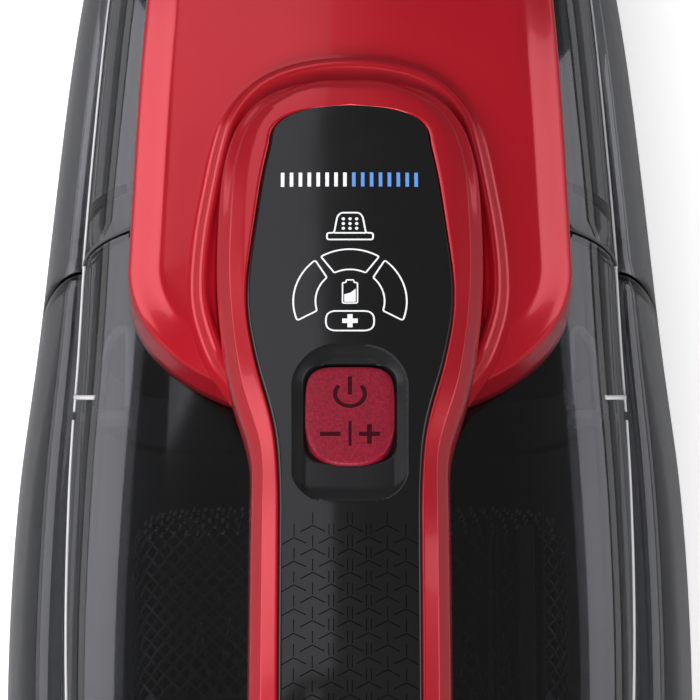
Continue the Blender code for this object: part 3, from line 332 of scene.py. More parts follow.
def smoked(name, colour, rough=0.04):
    """Clear smoke-grey stock with faint handling marks in its polish."""
    made, tree, shader, place = blank(name)
    drift = noise(tree, place, 60.0, 2.0)
    deep = tuple(c * 0.93 for c in colour)
    tree.links.new(blend_colours(tree, ranged(tree, drift, 0.0, 1.0), colour, deep), shader.inputs["Base Color"])
    marks = noise(tree, place, 26.0, 3.0, 0.5)
    tree.links.new(ranged(tree, marks, rough, rough + 0.03, 0.45, 0.8), shader.inputs["Roughness"])
    tree.links.new(bump(tree, noise(tree, place, 45.0, 0.0), 0.2, 0.1), shader.inputs["Normal"])
    set_inputs(shader, {"Transmission Weight": 1.0, "IOR": 1.45, "Specular IOR Level": 0.34, "Coat Weight": 0.2,
                        "Coat Roughness": 0.2})
    return made


def metal(name, colour, rough=0.28, along=(1.0, 14.0, 14.0)):
    made, tree, shader, place = blank(name)
    stretch = node_of(tree, "ShaderNodeMapping")
    stretch.inputs["Scale"].default_value = along
    tree.links.new(place, stretch.inputs["Vector"])
    streaks = noise(tree, stretch.outputs["Vector"], 6.0, 5.0, 0.7)
    deep = tuple(c * 0.72 for c in colour)
    tree.links.new(blend_colours(tree, ranged(tree, streaks, 0.0, 1.0), deep, colour), shader.inputs["Base Color"])
    tree.links.new(ranged(tree, streaks, rough - 0.07, rough + 0.1), shader.inputs["Roughness"])
    tree.links.new(bump(tree, streaks, 0.3, 0.02), shader.inputs["Normal"])
    shader.inputs["Metallic"].default_value = 1.0
    return made


def cloth(name, colour, shade):
    """Pressed filter cloth: crossed fibres over a soft drift of tone."""
    made, tree, shader, place = blank(name)
    weave = []
    for axis in ("X", "Z"):
        band = node_of(tree, "ShaderNodeTexWave", bands_direction=axis)
        set_inputs(band, {"Scale": 520.0, "Distortion": 3.0, "Detail": 2.0})
        tree.links.new(place, band.inputs["Vector"])
        weave.append(band.outputs["Fac"])
    both = node_of(tree, "ShaderNodeMath", operation="MULTIPLY")
    tree.links.new(weave[0], both.inputs[0])
    tree.links.new(weave[1], both.inputs[1])
    tree.links.new(blend_colours(tree, both.outputs[0], shade, colour), shader.inputs["Base Color"])
    tree.links.new(bump(tree, both.outputs[0], 0.5, 0.12), shader.inputs["Normal"])
    set_inputs(shader, {"Roughness": 0.92, "Sheen Weight": 0.3})
    return made


def board(name):
    """Circuit board: green mask with paler tracks in blocks."""
    made, tree, shader, place = blank(name)
    tracks = node_of(tree, "ShaderNodeTexBrick")
    set_inputs(tracks, {"Scale": 260.0, "Mortar Size": 0.03, "Color1": (0.01, 0.09, 0.035, 1),
                        "Color2": (0.015, 0.13, 0.05, 1), "Mortar": (0.20, 0.33, 0.12, 1)})
    tree.links.new(place, tracks.inputs["Vector"])
    tree.links.new(tracks.outputs["Color"], shader.inputs["Base Color"])
    tree.links.new(bump(tree, tracks.outputs["Fac"], 0.3, 0.05), shader.inputs["Normal"])
    shader.inputs["Roughness"].default_value = 0.35
    return made


def glowing(name, colour, strength):
    made, tree, shader, place = blank(name)
    drift = noise(tree, place, 3.0, 2.0)
    dim = tuple(c * 0.9 for c in colour)
    tree.links.new(blend_colours(tree, ranged(tree, drift, 0.0, 1.0), dim, colour), shader.inputs["Base Color"])
    set_inputs(shader, {"Roughness": 0.5, "Emission Color": (*colour, 1.0), "Emission Strength": strength})
    return made


FINISH = {
    "chili_red": plastic("chili_red", (0.51, 0.0095, 0.0215), (0.48, 0.008, 0.019), 0.20, 0.03, 1.2, 0.004, 50.0,
                         coat=0.22, metallic=0.25, specular=0.40),
    "satin_black": plastic("satin_black", (0.0105, 0.0105, 0.0108), (0.0085, 0.0085, 0.009), 0.10, 0.02, 0.35, 0.002,
                           30.0, specular=0.42),
    "recess_black": plastic("recess_black", (0.0125, 0.013, 0.0135), (0.010, 0.0105, 0.011), 0.33, 0.04, 0.4, 0.006,
                            20.0, specular=0.3),
    "crimson_grain": plastic("crimson_grain", (0.35, 0.010, 0.034), (0.21, 0.005, 0.019), 0.42, 0.1, 0.32, 0.14,
                             0.7, specular=0.3),
    # Paler and darker crimsons for the button's symbols: painted highlight and painted shade.
    "crimson_mark_highlight": plastic("crimson_mark_highlight", (0.36, 0.028, 0.052), (0.30, 0.022, 0.042), 0.45, 0.08, 0.4, 0.02, 6.0,
                            specular=0.2),
    "crimson_mark_shade": plastic("crimson_mark_shade", (0.060, 0.003, 0.008), (0.045, 0.002, 0.006), 0.6, 0.08, 0.4, 0.02, 6.0,
                            specular=0.12),
    "smoke": smoked("smoke", (0.27, 0.28, 0.295)),
    "charcoal": plastic("charcoal", (0.030, 0.031, 0.033), (0.024, 0.025, 0.027), 0.46, 0.06, 0.45, 0.02, 25.0),
    "inner_grey": plastic("inner_grey", (0.10, 0.10, 0.105), (0.08, 0.08, 0.085), 0.35, 0.06, 0.5, 0.01, 25.0),
    # Pale glossy grey for the inner ribs, pale enough to paint the bright crescents inside the bowl: partly painted
    # highlight.
    "pale_rib_highlight_grey": plastic("pale_rib_highlight_grey", (0.72, 0.73, 0.74), (0.62, 0.63, 0.64), 0.2, 0.05, 0.6, 0.01, 15.0, coat=0.4),
    # Pale glossy grey for the crease beads and tabs: a painted highlight line.
    "crease_highlight_grey": plastic("crease_highlight_grey", (0.80, 0.80, 0.81), (0.70, 0.70, 0.71), 0.16, 0.05, 0.6, 0.01, 15.0,
                           coat=0.5),
    "matte_grey": plastic("matte_grey", (0.20, 0.20, 0.205), (0.16, 0.16, 0.165), 0.5, 0.08, 0.5, 0.02, 25.0),
    "mesh_black": plastic("mesh_black", (0.038, 0.038, 0.039), (0.030, 0.030, 0.030), 0.13, 0.03, 0.5, 0.01, 12.0,
                          coat=0.5),
    # Near-black matte for the grip pattern's lines: painted shade along its moulded edges.
    "grip_shade_black": plastic("grip_shade_black", (0.0035, 0.0035, 0.0036), (0.0028, 0.0028, 0.0028), 0.6, 0.08, 0.4, 0.01,
                          9.0, specular=0.06),
    "rubber": plastic("rubber", (0.014, 0.014, 0.014), (0.020, 0.020, 0.019), 0.75, 0.1, 0.4, 0.04, 9.0, sheen=0.2),
    "steel": metal("steel", (0.62, 0.62, 0.64)),
    "copper": metal("copper", (0.72, 0.36, 0.20), 0.35),
    "filter_cloth": cloth("filter_cloth", (0.78, 0.76, 0.70), (0.55, 0.53, 0.48)),
    "board": board("board"),
    "cell_wrap": plastic("cell_wrap", (0.035, 0.12, 0.30), (0.03, 0.10, 0.26), 0.3, 0.06, 2.0, 0.02, 12.0, coat=0.3),
    "light_guide": plastic("light_guide", (0.80, 0.82, 0.84), (0.72, 0.74, 0.78), 0.25, 0.05, 0.8, 0.01, 8.0),
    "wire_red": plastic("wire_red", (0.42, 0.01, 0.01), (0.34, 0.01, 0.01), 0.45, 0.06, 0.6, 0.02, 5.0),
    "wire_black": plastic("wire_black", (0.012, 0.012, 0.012), (0.02, 0.02, 0.02), 0.45, 0.06, 0.6, 0.02, 5.0),
    "nylon": plastic("nylon", (0.018, 0.018, 0.018), (0.03, 0.03, 0.03), 0.4, 0.1, 1.0, 0.02, 4.0),
    "mark_white": glowing("mark_white", (0.86, 0.87, 0.88), 0.35),
    "mark_blue": glowing("mark_blue", (0.12, 0.32, 0.78), 0.25),
}


# ------------------------------------------------------------------ building

def placed(name, data):
    obj = bpy.data.objects.new(name, data)
    bpy.context.scene.collection.objects.link(obj)
    return obj


def piece(name, bm, body, finish, replaced=(), smooth=38.0, modifiers=()):
    """A finished piece from a bmesh in millimetres: it rides on a body and stands for the nodes it replaces."""
    bmesh.ops.scale(bm, vec=(MM, MM, MM), verts=bm.verts)
    data = bpy.data.meshes.new(name)
    bm.to_mesh(data)
    bm.free()
    data.shade_smooth()
    data.set_sharp_from_angle(angle=math.radians(smooth))
    obj = placed(name, data)
    data.materials.append(FINISH[finish])
    for kind, values in modifiers:
        made = obj.modifiers.new(kind.lower(), kind)
        for key, value in values.items():
            setattr(made, key, value)
    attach(obj, body)
    if replaced:
        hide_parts(*replaced)
    return obj


def grid_over(rows, across, along):
    """A flat grid whose points are moved onto rows of points. It goes on from a row's end to its start."""
    bm = bmesh.new()
    bmesh.ops.create_grid(bm, x_segments=across, y_segments=along, size=1.0)
    bm.verts.ensure_lookup_table()
    for index, vertex in enumerate(bm.verts):
        row, column = divmod(index, across + 1)
        vertex.co = rows[row % len(rows)][column % len(rows[0])]
    bmesh.ops.remove_doubles(bm, verts=bm.verts, dist=0.0004)
    bmesh.ops.dissolve_degenerate(bm, edges=bm.edges, dist=0.0003)
    return bm


def wrapped(rings, closed_along=False, caps=True):
    """A skin over rings of equal count, which closes round each ring."""
    bm = grid_over(rings, len(rings[0]), len(rings) - 1 + (1 if closed_along else 0))
    if caps and not closed_along:
        bmesh.ops.holes_fill(bm, edges=bm.edges, sides=0)
    bmesh.ops.recalc_face_normals(bm, faces=bm.faces)
    return bm


def sheet(rows):
    """An open skin over rows of points."""
    bm = grid_over(rows, len(rows[0]) - 1, len(rows) - 1)
    bmesh.ops.recalc_face_normals(bm, faces=bm.faces)
    return bm


def facing_out(bm, centre=None):
    """Turns an open skin so that its faces look away from a point."""
    middle = Vector(centre) if centre else sum((v.co for v in bm.verts), Vector()) / len(bm.verts)
    away = sum((f.calc_center_median() - middle).dot(f.normal) * f.calc_area() for f in bm.faces)
    if away < 0:
        bmesh.ops.reverse_faces(bm, faces=bm.faces)
    return bm


def spaced(low, high, step):
    """Even stations from low to high, about a step apart."""
    count = max(2, int(abs(high - low) / step))
    return [low + (high - low) * i / count for i in range(count + 1)]


def wall(thickness, offset=-1.0):
    return ("SOLIDIFY", {"thickness": thickness * MM, "offset": offset, "use_even_offset": True})


def block(low, high, bevel=0.0, segments=3):
    bm = bmesh.new()
    bmesh.ops.create_cube(bm, size=1.0)
    bmesh.ops.scale(bm, vec=Vector(high) - Vector(low), verts=bm.verts)
    bmesh.ops.translate(bm, vec=(Vector(high) + Vector(low)) / 2, verts=bm.verts)
    if bevel:
        bmesh.ops.bevel(bm, geom=bm.edges, offset=bevel, offset_type="OFFSET", affect="EDGES", segments=segments,
                        profile=0.5, material=-1)
    return bm


def lathe(profile, centre, axis="Y", steps=48):
    """A turned piece: (radius, along) points spun round an axis through centre."""
    bm = bmesh.new()
    verts = [bm.verts.new((r, 0.0, h)) for r, h in profile]
    edges = [bm.edges.new(pair) for pair in zip(verts, verts[1:])]
    if profile[0][0] > 0.01 and profile[-1][0] > 0.01:
        edges.append(bm.edges.new((verts[-1], verts[0])))
    bmesh.ops.spin(bm, geom=verts + edges, cent=(0, 0, 0), axis=(0, 0, 1), dvec=(0, 0, 0), angle=2 * math.pi,
                   steps=steps, use_merge=True)
    bmesh.ops.remove_doubles(bm, verts=bm.verts, dist=0.001)
    bmesh.ops.recalc_face_normals(bm, faces=bm.faces)
    turn = {"Y": Matrix.Rotation(math.radians(-90), 3, "X"), "X": Matrix.Rotation(math.radians(90), 3, "Y"),
            "Z": Matrix.Identity(3)}[axis]
    bmesh.ops.rotate(bm, cent=(0, 0, 0), matrix=turn, verts=bm.verts)
    bmesh.ops.translate(bm, vec=centre, verts=bm.verts)
    return bm


def joined(target, other):
    """Adds another bmesh's shape to target, as a separate lump of the same piece."""
    data = bpy.data.meshes.new("lump")
    other.to_mesh(data)
    other.free()
    target.from_mesh(data)
    bpy.data.meshes.remove(data)
    return target


# ------------------------------------------------------------------ bowl and nozzle

def tube_of_body(y0, y1, grow=0.0, step=3.0, shell=SHELL, edge=0.45):
    """A length of the body's skin with a real wall, its two rims rounded over."""
    outer = [(y0, grow - edge), (y0 + 0.3 * edge, grow - 0.3 * edge), (y0 + edge, grow)]
    outer += [(y, grow) for y in spaced(y0 + edge, y1 - edge, step)[1:]]
    outer += [(y1 - 0.3 * edge, grow - 0.3 * edge), (y1, grow - edge)]
    inner = [(y, grow - shell) for y in spaced(y1 - 0.1, y0 + 0.1, step)]
    path = outer + [(y1, grow - shell + 0.3)] + inner + [(y0, grow - shell + 0.3)]
    return wrapped([body_ring(y, g) for y, g in path], closed_along=True)


def make_bowl():
    piece("bowl_skin", tube_of_body(BOWL_END + 0.3, SEAM - 0.25), "dust_cup", "smoke", ["dust_bowl"], 30.0)
    bm = tube_of_body(SEAM + 0.25, TIP - 4.3)
    for side in (-1, 1):
        near, far = sorted((side * 29.5, side * 32.0))
        foot = dome_height(32.0, HINGE_Y) - 1.2
        joined(bm, block((near, HINGE_Y - 4, foot), (far, HINGE_Y + 4, HINGE_Z + 3), 1.0))
    piece("nozzle_skin", bm, "dust_cup", "smoke", ["nozzle_shell"], 30.0)
    lip = tube_of_body(TIP - 4, TIP, 0.8, 1.0, SHELL + 0.9, 0.8)
    piece("mouth_lip", lip, "dust_cup", "satin_black", ["nozzle_lip"], 30.0)


def bead(points, radius, sides=8):
    """A thin round bead along points."""
    rings = []
    for k, p in enumerate(points):
        way = (points[min(k + 1, len(points) - 1)] - points[max(k - 1, 0)]).normalized()
        across = way.cross(Vector((0, 0, 1))).normalized()
        up = across.cross(way)
        rings.append([p + across * radius * math.cos(a) + up * radius * math.sin(a)
                      for a in np.linspace(0, 2 * math.pi, sides + 1)[:-1]])
    return wrapped(rings)


def shoulder_spot(side, station, inward=0.0):
    """A point on the crease where the dome meets the side wall."""
    x = half_width(station) - shoulder_step(station) + 0.15 - inward
    z = shoulder_height(station) + 0.12
    if inward > 0.1:
        z = max(z, dome_height(x, station) + 0.1)
    return Vector((side * x, station + lean(station) * (z - top_height(station)), z))


def make_highlight_beads():
    # The pale beads along the crease, and the tabs across its step, paint the thin bright lines there: painted
    # highlight.
    crease, seam_bead = bmesh.new(), bmesh.new()
    for side in (-1, 1):
        for start, end, first, last in ((BOWL_END + 0.8, -38.4, 1.9, 0.5), (TAB_Y - 0.2, SEAM - 0.6, 0.55, 0.35),
                                        (SEAM + 0.8, TIP - 6, 0.0, 0.0)):
            stations = spaced(start, end, 3)
            shifts = np.linspace(first, last, len(stations))
            joined(crease, bead([shoulder_spot(side, y, shift) for y, shift in zip(stations, shifts)], 0.3))
        tab, outer = [], half_width(TAB_Y) - shoulder_step(TAB_Y) - 0.6
        for x in np.linspace(outer, outer - 4.3, 8):
            height = dome_height(x, TAB_Y)
            tab.append(Vector((side * x, TAB_Y - 0.2 - 0.344 * (height - dome_height(outer, TAB_Y)), height - 0.1)))
        joined(crease, bead(tab, 0.5, 12))
        # A grey bead along the seam paints the glints on the seam's edge: painted highlight.
        ring = body_ring(SEAM + 0.15, 0.02)
        line = [p for p in ring[1:27] if p.x > 38]
        joined(seam_bead, bead([Vector((side * p.x, p.y, p.z)) for p in line], 0.3))
    piece("crease_highlight_beads", crease, "dust_cup", "crease_highlight_grey")
    piece("seam_glint_beads", seam_bead, "dust_cup", "inner_grey")


# ------------------------------------------------------------------ spine

spine_wide = Line([
    (SEAM_Y - 20, 44.7), (SEAM_Y + 16, 43.2), (SEAM_Y + 38, 41.9), (SEAM_Y + 100, 35.6), (SPINE_FRONT, 26.8),
], 8.0)
spine_rise = Line([
    (SPINE_REAR, SPINE_RISE - 0.3), (SEAM_Y - 20, SPINE_RISE), (SEAM_Y + 30, SPINE_RISE),
    (SEAM_Y + 70, SPINE_RISE + 1), (SEAM_Y + 120, SPINE_RISE - 3), (SPINE_FRONT, SPINE_RISE - 9),
], 8.0)


def spine_outline(count=180):
    """(x, y) round the spine's foot, from the rear centre and round by the right."""
    full, taper = SEAM_Y - 20, SPINE_FRONT - 22
    right = []
    for i in range(count // 4 + 1):
        a = math.pi / 2 * i / (count // 4)
        right.append((spine_wide(full) * math.sin(a), full - (full - SPINE_REAR) * math.cos(a)))
    for y in spaced(full, taper, 3.2)[1:]:
        right.append((spine_wide(y), y))
    for i in range(1, count // 6 + 1):
        a = math.pi / 2 * i / (count // 6)
        y = taper + (SPINE_FRONT - taper) * math.sin(a)
        right.append((spine_wide(min(y, SPINE_FRONT)) * math.cos(a), y))
    return right + [(-x, y) for x, y in reversed(right[1:-1])]


def spine_top(x, y):
    """The height of the spine's crown."""
    wide = max(spine_wide(min(max(y, SEAM_Y - 20), SPINE_FRONT)), 1.0)
    return top_height(y) + spine_rise(y) - 3.2 * (abs(x) / wide) ** 2.2


# The spine's edge as (distance in from its outline, drop below its crown): wall, bevel and a soft shoulder
SPINE_EDGE = [(0.35, 4.4), (0.42, 3.8), (0.6, 3.3), (0.95, 2.9), (1.6, 2.55), (2.6, 2.15), (3.8, 1.68), (4.7, 1.3),
              (5.3, 1.04), (5.85, 0.76), (6.4, 0.47), (7.1, 0.24), (8.1, 0.09), (9.2, 0.02), (10.6, 0.0)]


def make_spine():
    outline = spine_outline()
    rear, front = SEAM_Y - 22.0, SPINE_FRONT - 24.0
    steps = [("wall", t, 0) for t in (0.0, 0.3, 0.6, 0.9)] + [("edge", inset, drop) for inset, drop in SPINE_EDGE]
    steps += [("top", t, 0) for t in (0.93, 0.86, 0.79, 0.71, 0.63, 0.55, 0.47, 0.39, 0.31, 0.23, 0.15, 0.07, 0.0)]
    rows = []
    for kind, t, drop in steps:
        row = []
        for x, y in outline:
            core = Vector((0.0, min(max(y, rear), front)))
            out = Vector((x, y)) - core
            length = out.length
            way = out / length
            narrow = min(1.0, length / 14.0)
            if kind == "wall":
                spot = core + way * (length - 0.35 * t)
                foot = dome_height(min(abs(x), 55), y) + 0.15
                low = spine_top(spot.x, spot.y) - SPINE_EDGE[0][1]
                row.append(Vector((spot.x, spot.y, foot + (low - foot) * t)))
            elif kind == "edge":
                spot = core + way * (length - t * narrow)
                row.append(Vector((spot.x, spot.y, spine_top(spot.x, spot.y) - drop)))
            else:
                spot = core + way * (length - SPINE_EDGE[-1][0] * narrow) * t
                row.append(Vector((spot.x, spot.y, spine_top(spot.x, spot.y))))
        rows.append(row)
    bm = wrapped(rows, caps=False)
    facing_out(bm, (0, 40, 60))
    piece("spine_skin", bm, "dust_cup", "chili_red", ["spine_cover"], 60.0, [wall(1.9)])
    make_collar()


def run_lengths(points):
    """The length of the run up to each point."""
    lengths = [0.0]
    for a, b in zip(points, points[1:]):
        lengths.append(lengths[-1] + (b - a).length)
    return lengths


def curve_through(points, step=1.0):
    """A smooth curve through (x, y) points, evenly stepped."""
    pts = [Vector(p) for p in points]
    pts = [pts[0] * 2 - pts[1]] + pts + [pts[-1] * 2 - pts[-2]]
    fine = []
    for a, b, c, d in zip(pts, pts[1:], pts[2:], pts[3:]):
        for i in range(20):
            t = i / 20
            fine.append(0.5 * ((2 * b) + (c - a) * t + (2 * a - 5 * b + 4 * c - d) * t**2
                               + (3 * b - a - 3 * c + d) * t**3))
    fine.append(pts[-2])
    lengths = run_lengths(fine)
    spots = np.linspace(0, lengths[-1], int(lengths[-1] / step) + 1)
    return [(float(np.interp(q, lengths, [p.x for p in fine])), float(np.interp(q, lengths, [p.y for p in fine])))
            for q in spots]


def across_path(path, k):
    """The unit direction across a path at one of its points, on the right of its run."""
    x0, y0 = path[max(k - 1, 0)]
    x1, y1 = path[min(k + 1, len(path) - 1)]
    length = math.hypot(x1 - x0, y1 - y0)
    return (y1 - y0) / length, -(x1 - x0) / length


def averaged(values, reach):
    padded = [values[0]] * reach + list(values) + [values[-1]] * reach
    return [sum(padded[k:k + 2 * reach + 1]) / (2 * reach + 1) for k in range(len(values))]


def make_collar():
    """The raised ring that takes the handle's nose: it falls in towards the handle and has a rounded outer ridge."""
    right = [(20.6, -46.6), (23.2, -42.6), (26.1, -37.2), (28.5, -29.5), (29.1, -22.5), (28.4, -13.0),
             (26.8, -3.0), (25.1, 5.5), (23.2, 11.4), (19.4, 16.6), (14.6, 19.9), (8.0, 21.9), (0.0, 22.6)]
    path = curve_through(right + [(-x, y) for x, y in reversed(right[:-1])], 0.9)
    total = len(path)
    gaps, turns = [], []
    for k, (x, y) in enumerate(path):
        nx, ny = across_path(path, k)
        turns.append((nx, ny))
        gap = 0.3
        while gap < 6 and not (y - ny * gap < NOSE_END + 0.3
                               and abs(x - nx * gap) < handle_half(min(y - ny * gap, NOSE_END)) + 0.25):
            gap += 0.1
        gaps.append(gap)
    gaps = averaged(gaps, 3)
    rows = []
    for k, (x, y) in enumerate(path):
        nx, ny = turns[k]
        gap = gaps[k]
        ends = min(k, total - 1 - k) / 13.0
        swell = 0.05 + 0.95 * math.sin(math.pi / 2 * min(1.0, ends))
        if x > 0 and -35.5 < y < -30.5:
            gap -= 1.1 * math.sin(math.pi * (y + 35.5) / 5.0)
        shape = [(-gap, -1.7), (-gap, 2.0), (-gap + 0.12, 2.2), (-gap * 0.75, 2.3), (-gap * 0.5 - 0.2, 2.45),
                 (-1.1, 2.7), (-0.75, 2.92), (-0.4, 3.07), (0.0, 3.1), (0.3, 2.99), (0.85, 2.7), (1.15, 2.2),
                 (1.35, 1.5), (1.6, 0.8), (1.95, 0.36), (2.5, 0.1), (3.3, -0.02), (3.4, -0.7), (3.0, -1.7)]
        row = []
        for out, rise in shape:
            px, py = x + nx * out, y + ny * out
            row.append(Vector((px, py, spine_top(px, py) + (rise * swell if rise > 0 else rise))))
        rows.append(row)
    piece("nose_collar", wrapped(rows), "dust_cup", "chili_red", (), 60.0)


# ------------------------------------------------------------------ handle

def rim_height(x, y):
    """The red rim beside the inlay: a flat bevel that falls outwards."""
    wide = handle_half(y)
    start = wide - 5.5 * min(1.0, wide / 14)
    over = max(0.0, abs(x) - start)
    return handle_surface(min(abs(x), start), y) - over * 0.48


def handle_section(y):
    """Points round the red shell from the inlay's left edge, under the handle, to its right edge."""
    low, top, wide = handle_floor(y), handle_top(y), handle_half(y)
    edge = inlay_half(y)
    gap = 0.35 if edge > 0.4 else 0.0
    mid = (top + low) / 2
    small = min(1.0, wide / 14)
    crease = wide - 2.5 * small
    start = min(edge + gap, crease - 0.3)
    half = []
    for t in (0.0, 0.12, 0.25, 0.4, 0.55, 0.7, 0.82, 0.92, 0.97, 1.0):
        x = start + (crease - start) * t
        half.append((x, rim_height(x, y)))
    x, z = half[-1]
    half[-1] = (x - 0.03, z - 0.03)
    half += [(x + 0.14 * small, z - 0.16), (x + 0.26 * small, z - 0.38)]
    x, z = half[-1]
    flank = (wide - x) * 0.72
    drop = max(0.05, min(1.6 * flank, 0.45 * (z - mid)))
    half += [(x + flank * t, z - drop * t) for t in (0.25, 0.5, 0.75, 1.0)]
    x, z = half[-1]
    for i in range(1, 13):
        t = i / 12
        half.append((x + (wide - x) * (1 - (1 - t) ** 2.2), z + (mid - z) * t))
    for i in range(1, 17):
        a = math.pi / 2 * i / 16
        half.append((wide * power(math.cos(a), GRIP_POWER), mid - (mid - low) * power(math.sin(a), GRIP_POWER)))
    ring = [Vector((-x, y, z)) for x, z in half] + [Vector((x, y, z)) for x, z in reversed(half[:-1])]
    return ring


def handle_stations():
    stations = [REAR_END + d for d in (4.5, 5.2, 6.2, 7.6, 9.4, 11.5, 14, 17, 20, 23.5, 27, 30.5, 33)]
    stations += [INLAY_REAR + d for d in (0.02, 0.15, 0.5, 1.1, 2.0, 3.2, 4.8, 6.6, 8.6)]
    stations += spaced(INLAY_REAR + 10.5, INLAY_FRONT - 10, 2.0)
    stations += [INLAY_FRONT - d for d in (8.5, 6.8, 5.2, 3.8, 2.6, 1.6, 0.9, 0.45, 0.15, 0.02)]
    stations += [INLAY_FRONT + d for d in (0.3, 1.0, 2.0, 3.0, 4.0, 4.9, 5.6, 6.2, 6.7, 7.05, 7.25)]
    return stations


def make_handle():
    bm = sheet([handle_section(y) for y in handle_stations()])
    ends = [e for e in bm.edges if e.is_boundary and all(v.co.y > NOSE_END - 0.2 for v in e.verts)]
    if ends:
        bmesh.ops.holes_fill(bm, edges=ends, sides=0)
        bmesh.ops.contextual_create(bm, geom=ends)
    facing_out(bm)
    piece("handle_skin", bm, "motor_unit", "chili_red", ["handle_shell"], 50.0, [wall(2.0)])


def to_box(x, y, half_x, half_y, corner):
    """The distance to the edge of a box with round corners: below 0 inside it."""
    dx, dy = abs(x) - (half_x - corner), abs(y) - (half_y - corner)
    return math.hypot(max(dx, 0), max(dy, 0)) + min(max(dx, dy), 0) - corner


COLUMN, PITCH, GRIP_START = 3.5, 4.85, -83.2


def grip_cells():
    """Apex of each mark in the moulded grip pattern, in staggered columns."""
    for column in range(-3, 4):
        y = GRIP_START - (PITCH / 2 if column % 2 else 0.0)
        while y > INLAY_REAR + 7:
            yield column, column * COLUMN, y
            y -= PITCH


def make_grip_shade_lines():
    """Fine dark lines that paint the shade along the moulded grip pattern's edges: a chevron at each cell, with a stem
    above it, or a pair of stems near the middle.
    """
    lines = bmesh.new()
    for column, cx, cy in grip_cells():
        joined(lines, stroke(dense([(cx - 2.3, cy - 1.25), (cx, cy), (cx + 2.3, cy - 1.25)], 0.6, False), 0.2, False))
        for dx in ((-0.45, 0.45) if abs(column) < 2 else (0.0,)):
            joined(lines, stroke(dense([(cx + dx, cy + 0.35), (cx + dx, cy + 2.75)], 0.6, False), 0.17, False))
    for vertex in lines.verts:
        z = handle_surface(vertex.co.x, vertex.co.y)
        vertex.co.z = z - 0.03 + 0.05 * vertex.co.z
    piece("grip_shade_lines", lines, "motor_unit", "grip_shade_black")


def ramp(value, reach):
    """0 at an edge and 1 at reach inside it: a straight slope with just its two corners eased."""
    t = min(max(value / reach, 0.0), 1.0)
    soft = t * t * (3 - 2 * t)
    return 0.75 * t + 0.25 * soft


def recess_bow(x, y):
    return (RECESS_BOW if y > RECESS_Y else -RECESS_BOW) * (x / 11.0) ** 2


def recess_edge(x, y):
    """The distance to the recess's outline: below 0 inside it."""
    corner = 8.5 if y > RECESS_Y else 6.5
    return to_box(x, y - RECESS_Y + recess_bow(x, y), RECESS_HALF_X, RECESS_HALF_Y, corner)


def inlay_height(x, y):
    """The inlay's top: the handle's own, with the recess dished into it and the button's pit in the recess."""
    z = handle_surface(x, y)
    bow = recess_bow(x, y)
    walls = -to_box(x, y - (RECESS_Y - 30) + bow, RECESS_HALF_X, RECESS_HALF_Y + 30, 8.5)
    rear = y + bow - (RECESS_Y - RECESS_HALF_Y)
    depth = 1.35 * min(ramp(walls, 2.6), ramp(-recess_edge(x, y), 1.4), ramp(rear, 3.5))
    pit = -to_box(x, y - BUTTON_Y - 0.1, 8.9, 10.9, 4.0)
    depth += 1.2 * ramp(pit, 0.7)
    return z - depth


def make_inlay():
    rows = []
    stations = [INLAY_REAR + d for d in (0.03, 0.2, 0.55, 1.1, 1.9, 2.9, 4.2, 5.6)]
    stations += spaced(INLAY_REAR + 7, -80.5, 1.6)
    stations += spaced(-80.2, -41.5, 0.36)
    stations += spaced(-41, INLAY_FRONT - 7.5, 1.1)
    stations += [INLAY_FRONT - d for d in (6.6, 5.4, 4.2, 3.1, 2.2, 1.4, 0.8, 0.4, 0.15, 0.03)]
    across = 108
    for y in stations:
        half = max(inlay_half(y), 0.3)
        top = []
        for i in range(across + 1):
            t = -1 + 2 * i / across
            x = half * t
            edge = half * (1 - abs(t))
            roll = 0.35 * (1 - min(1.0, edge / 0.4)) ** 2
            top.append(Vector((x, y, inlay_height(x, y) - roll)))
        under = [Vector((half * t, y, handle_surface(half * t, y) - 4.4)) for t in (1, 0.5, 0, -0.5, -1)]
        rows.append(top + under)
    bm = wrapped(rows)
    for face in bm.faces:
        spot = face.calc_center_median()
        inside = recess_edge(spot.x, spot.y) < -0.1
        face.material_index = 1 if inside and face.normal.z > 0.2 else 0
    obj = piece("grip_inlay", bm, "motor_unit", "satin_black", ["handle_inlay"], 60.0)
    obj.data.materials.append(FINISH["recess_black"])


def button_frame():
    slope = (handle_top(BUTTON_Y - 8) - handle_top(BUTTON_Y + 8)) / 16
    angle = -math.atan(slope)
    return Vector((0, BUTTON_Y, handle_top(BUTTON_Y))), Matrix.Rotation(angle, 3, "X")


def button_outline(inset, count=112):
    """The button's edge: straight flanks, a bowed top and a fuller, rounder bottom."""
    half_x, high, low = 8.6 - inset, 11.0 - inset, 11.6 - inset
    ring = []
    for i in range(count):
        a = 2 * math.pi * i / count
        side, up = math.cos(a), math.sin(a)
        blend = 0.5 + 0.5 * math.tanh(up * 6)
        p = 0.76 + (0.44 - 0.76) * blend
        reach = low + (high - low) * blend
        ring.append((half_x * power(side, p), reach * power(up, p)))
    return ring


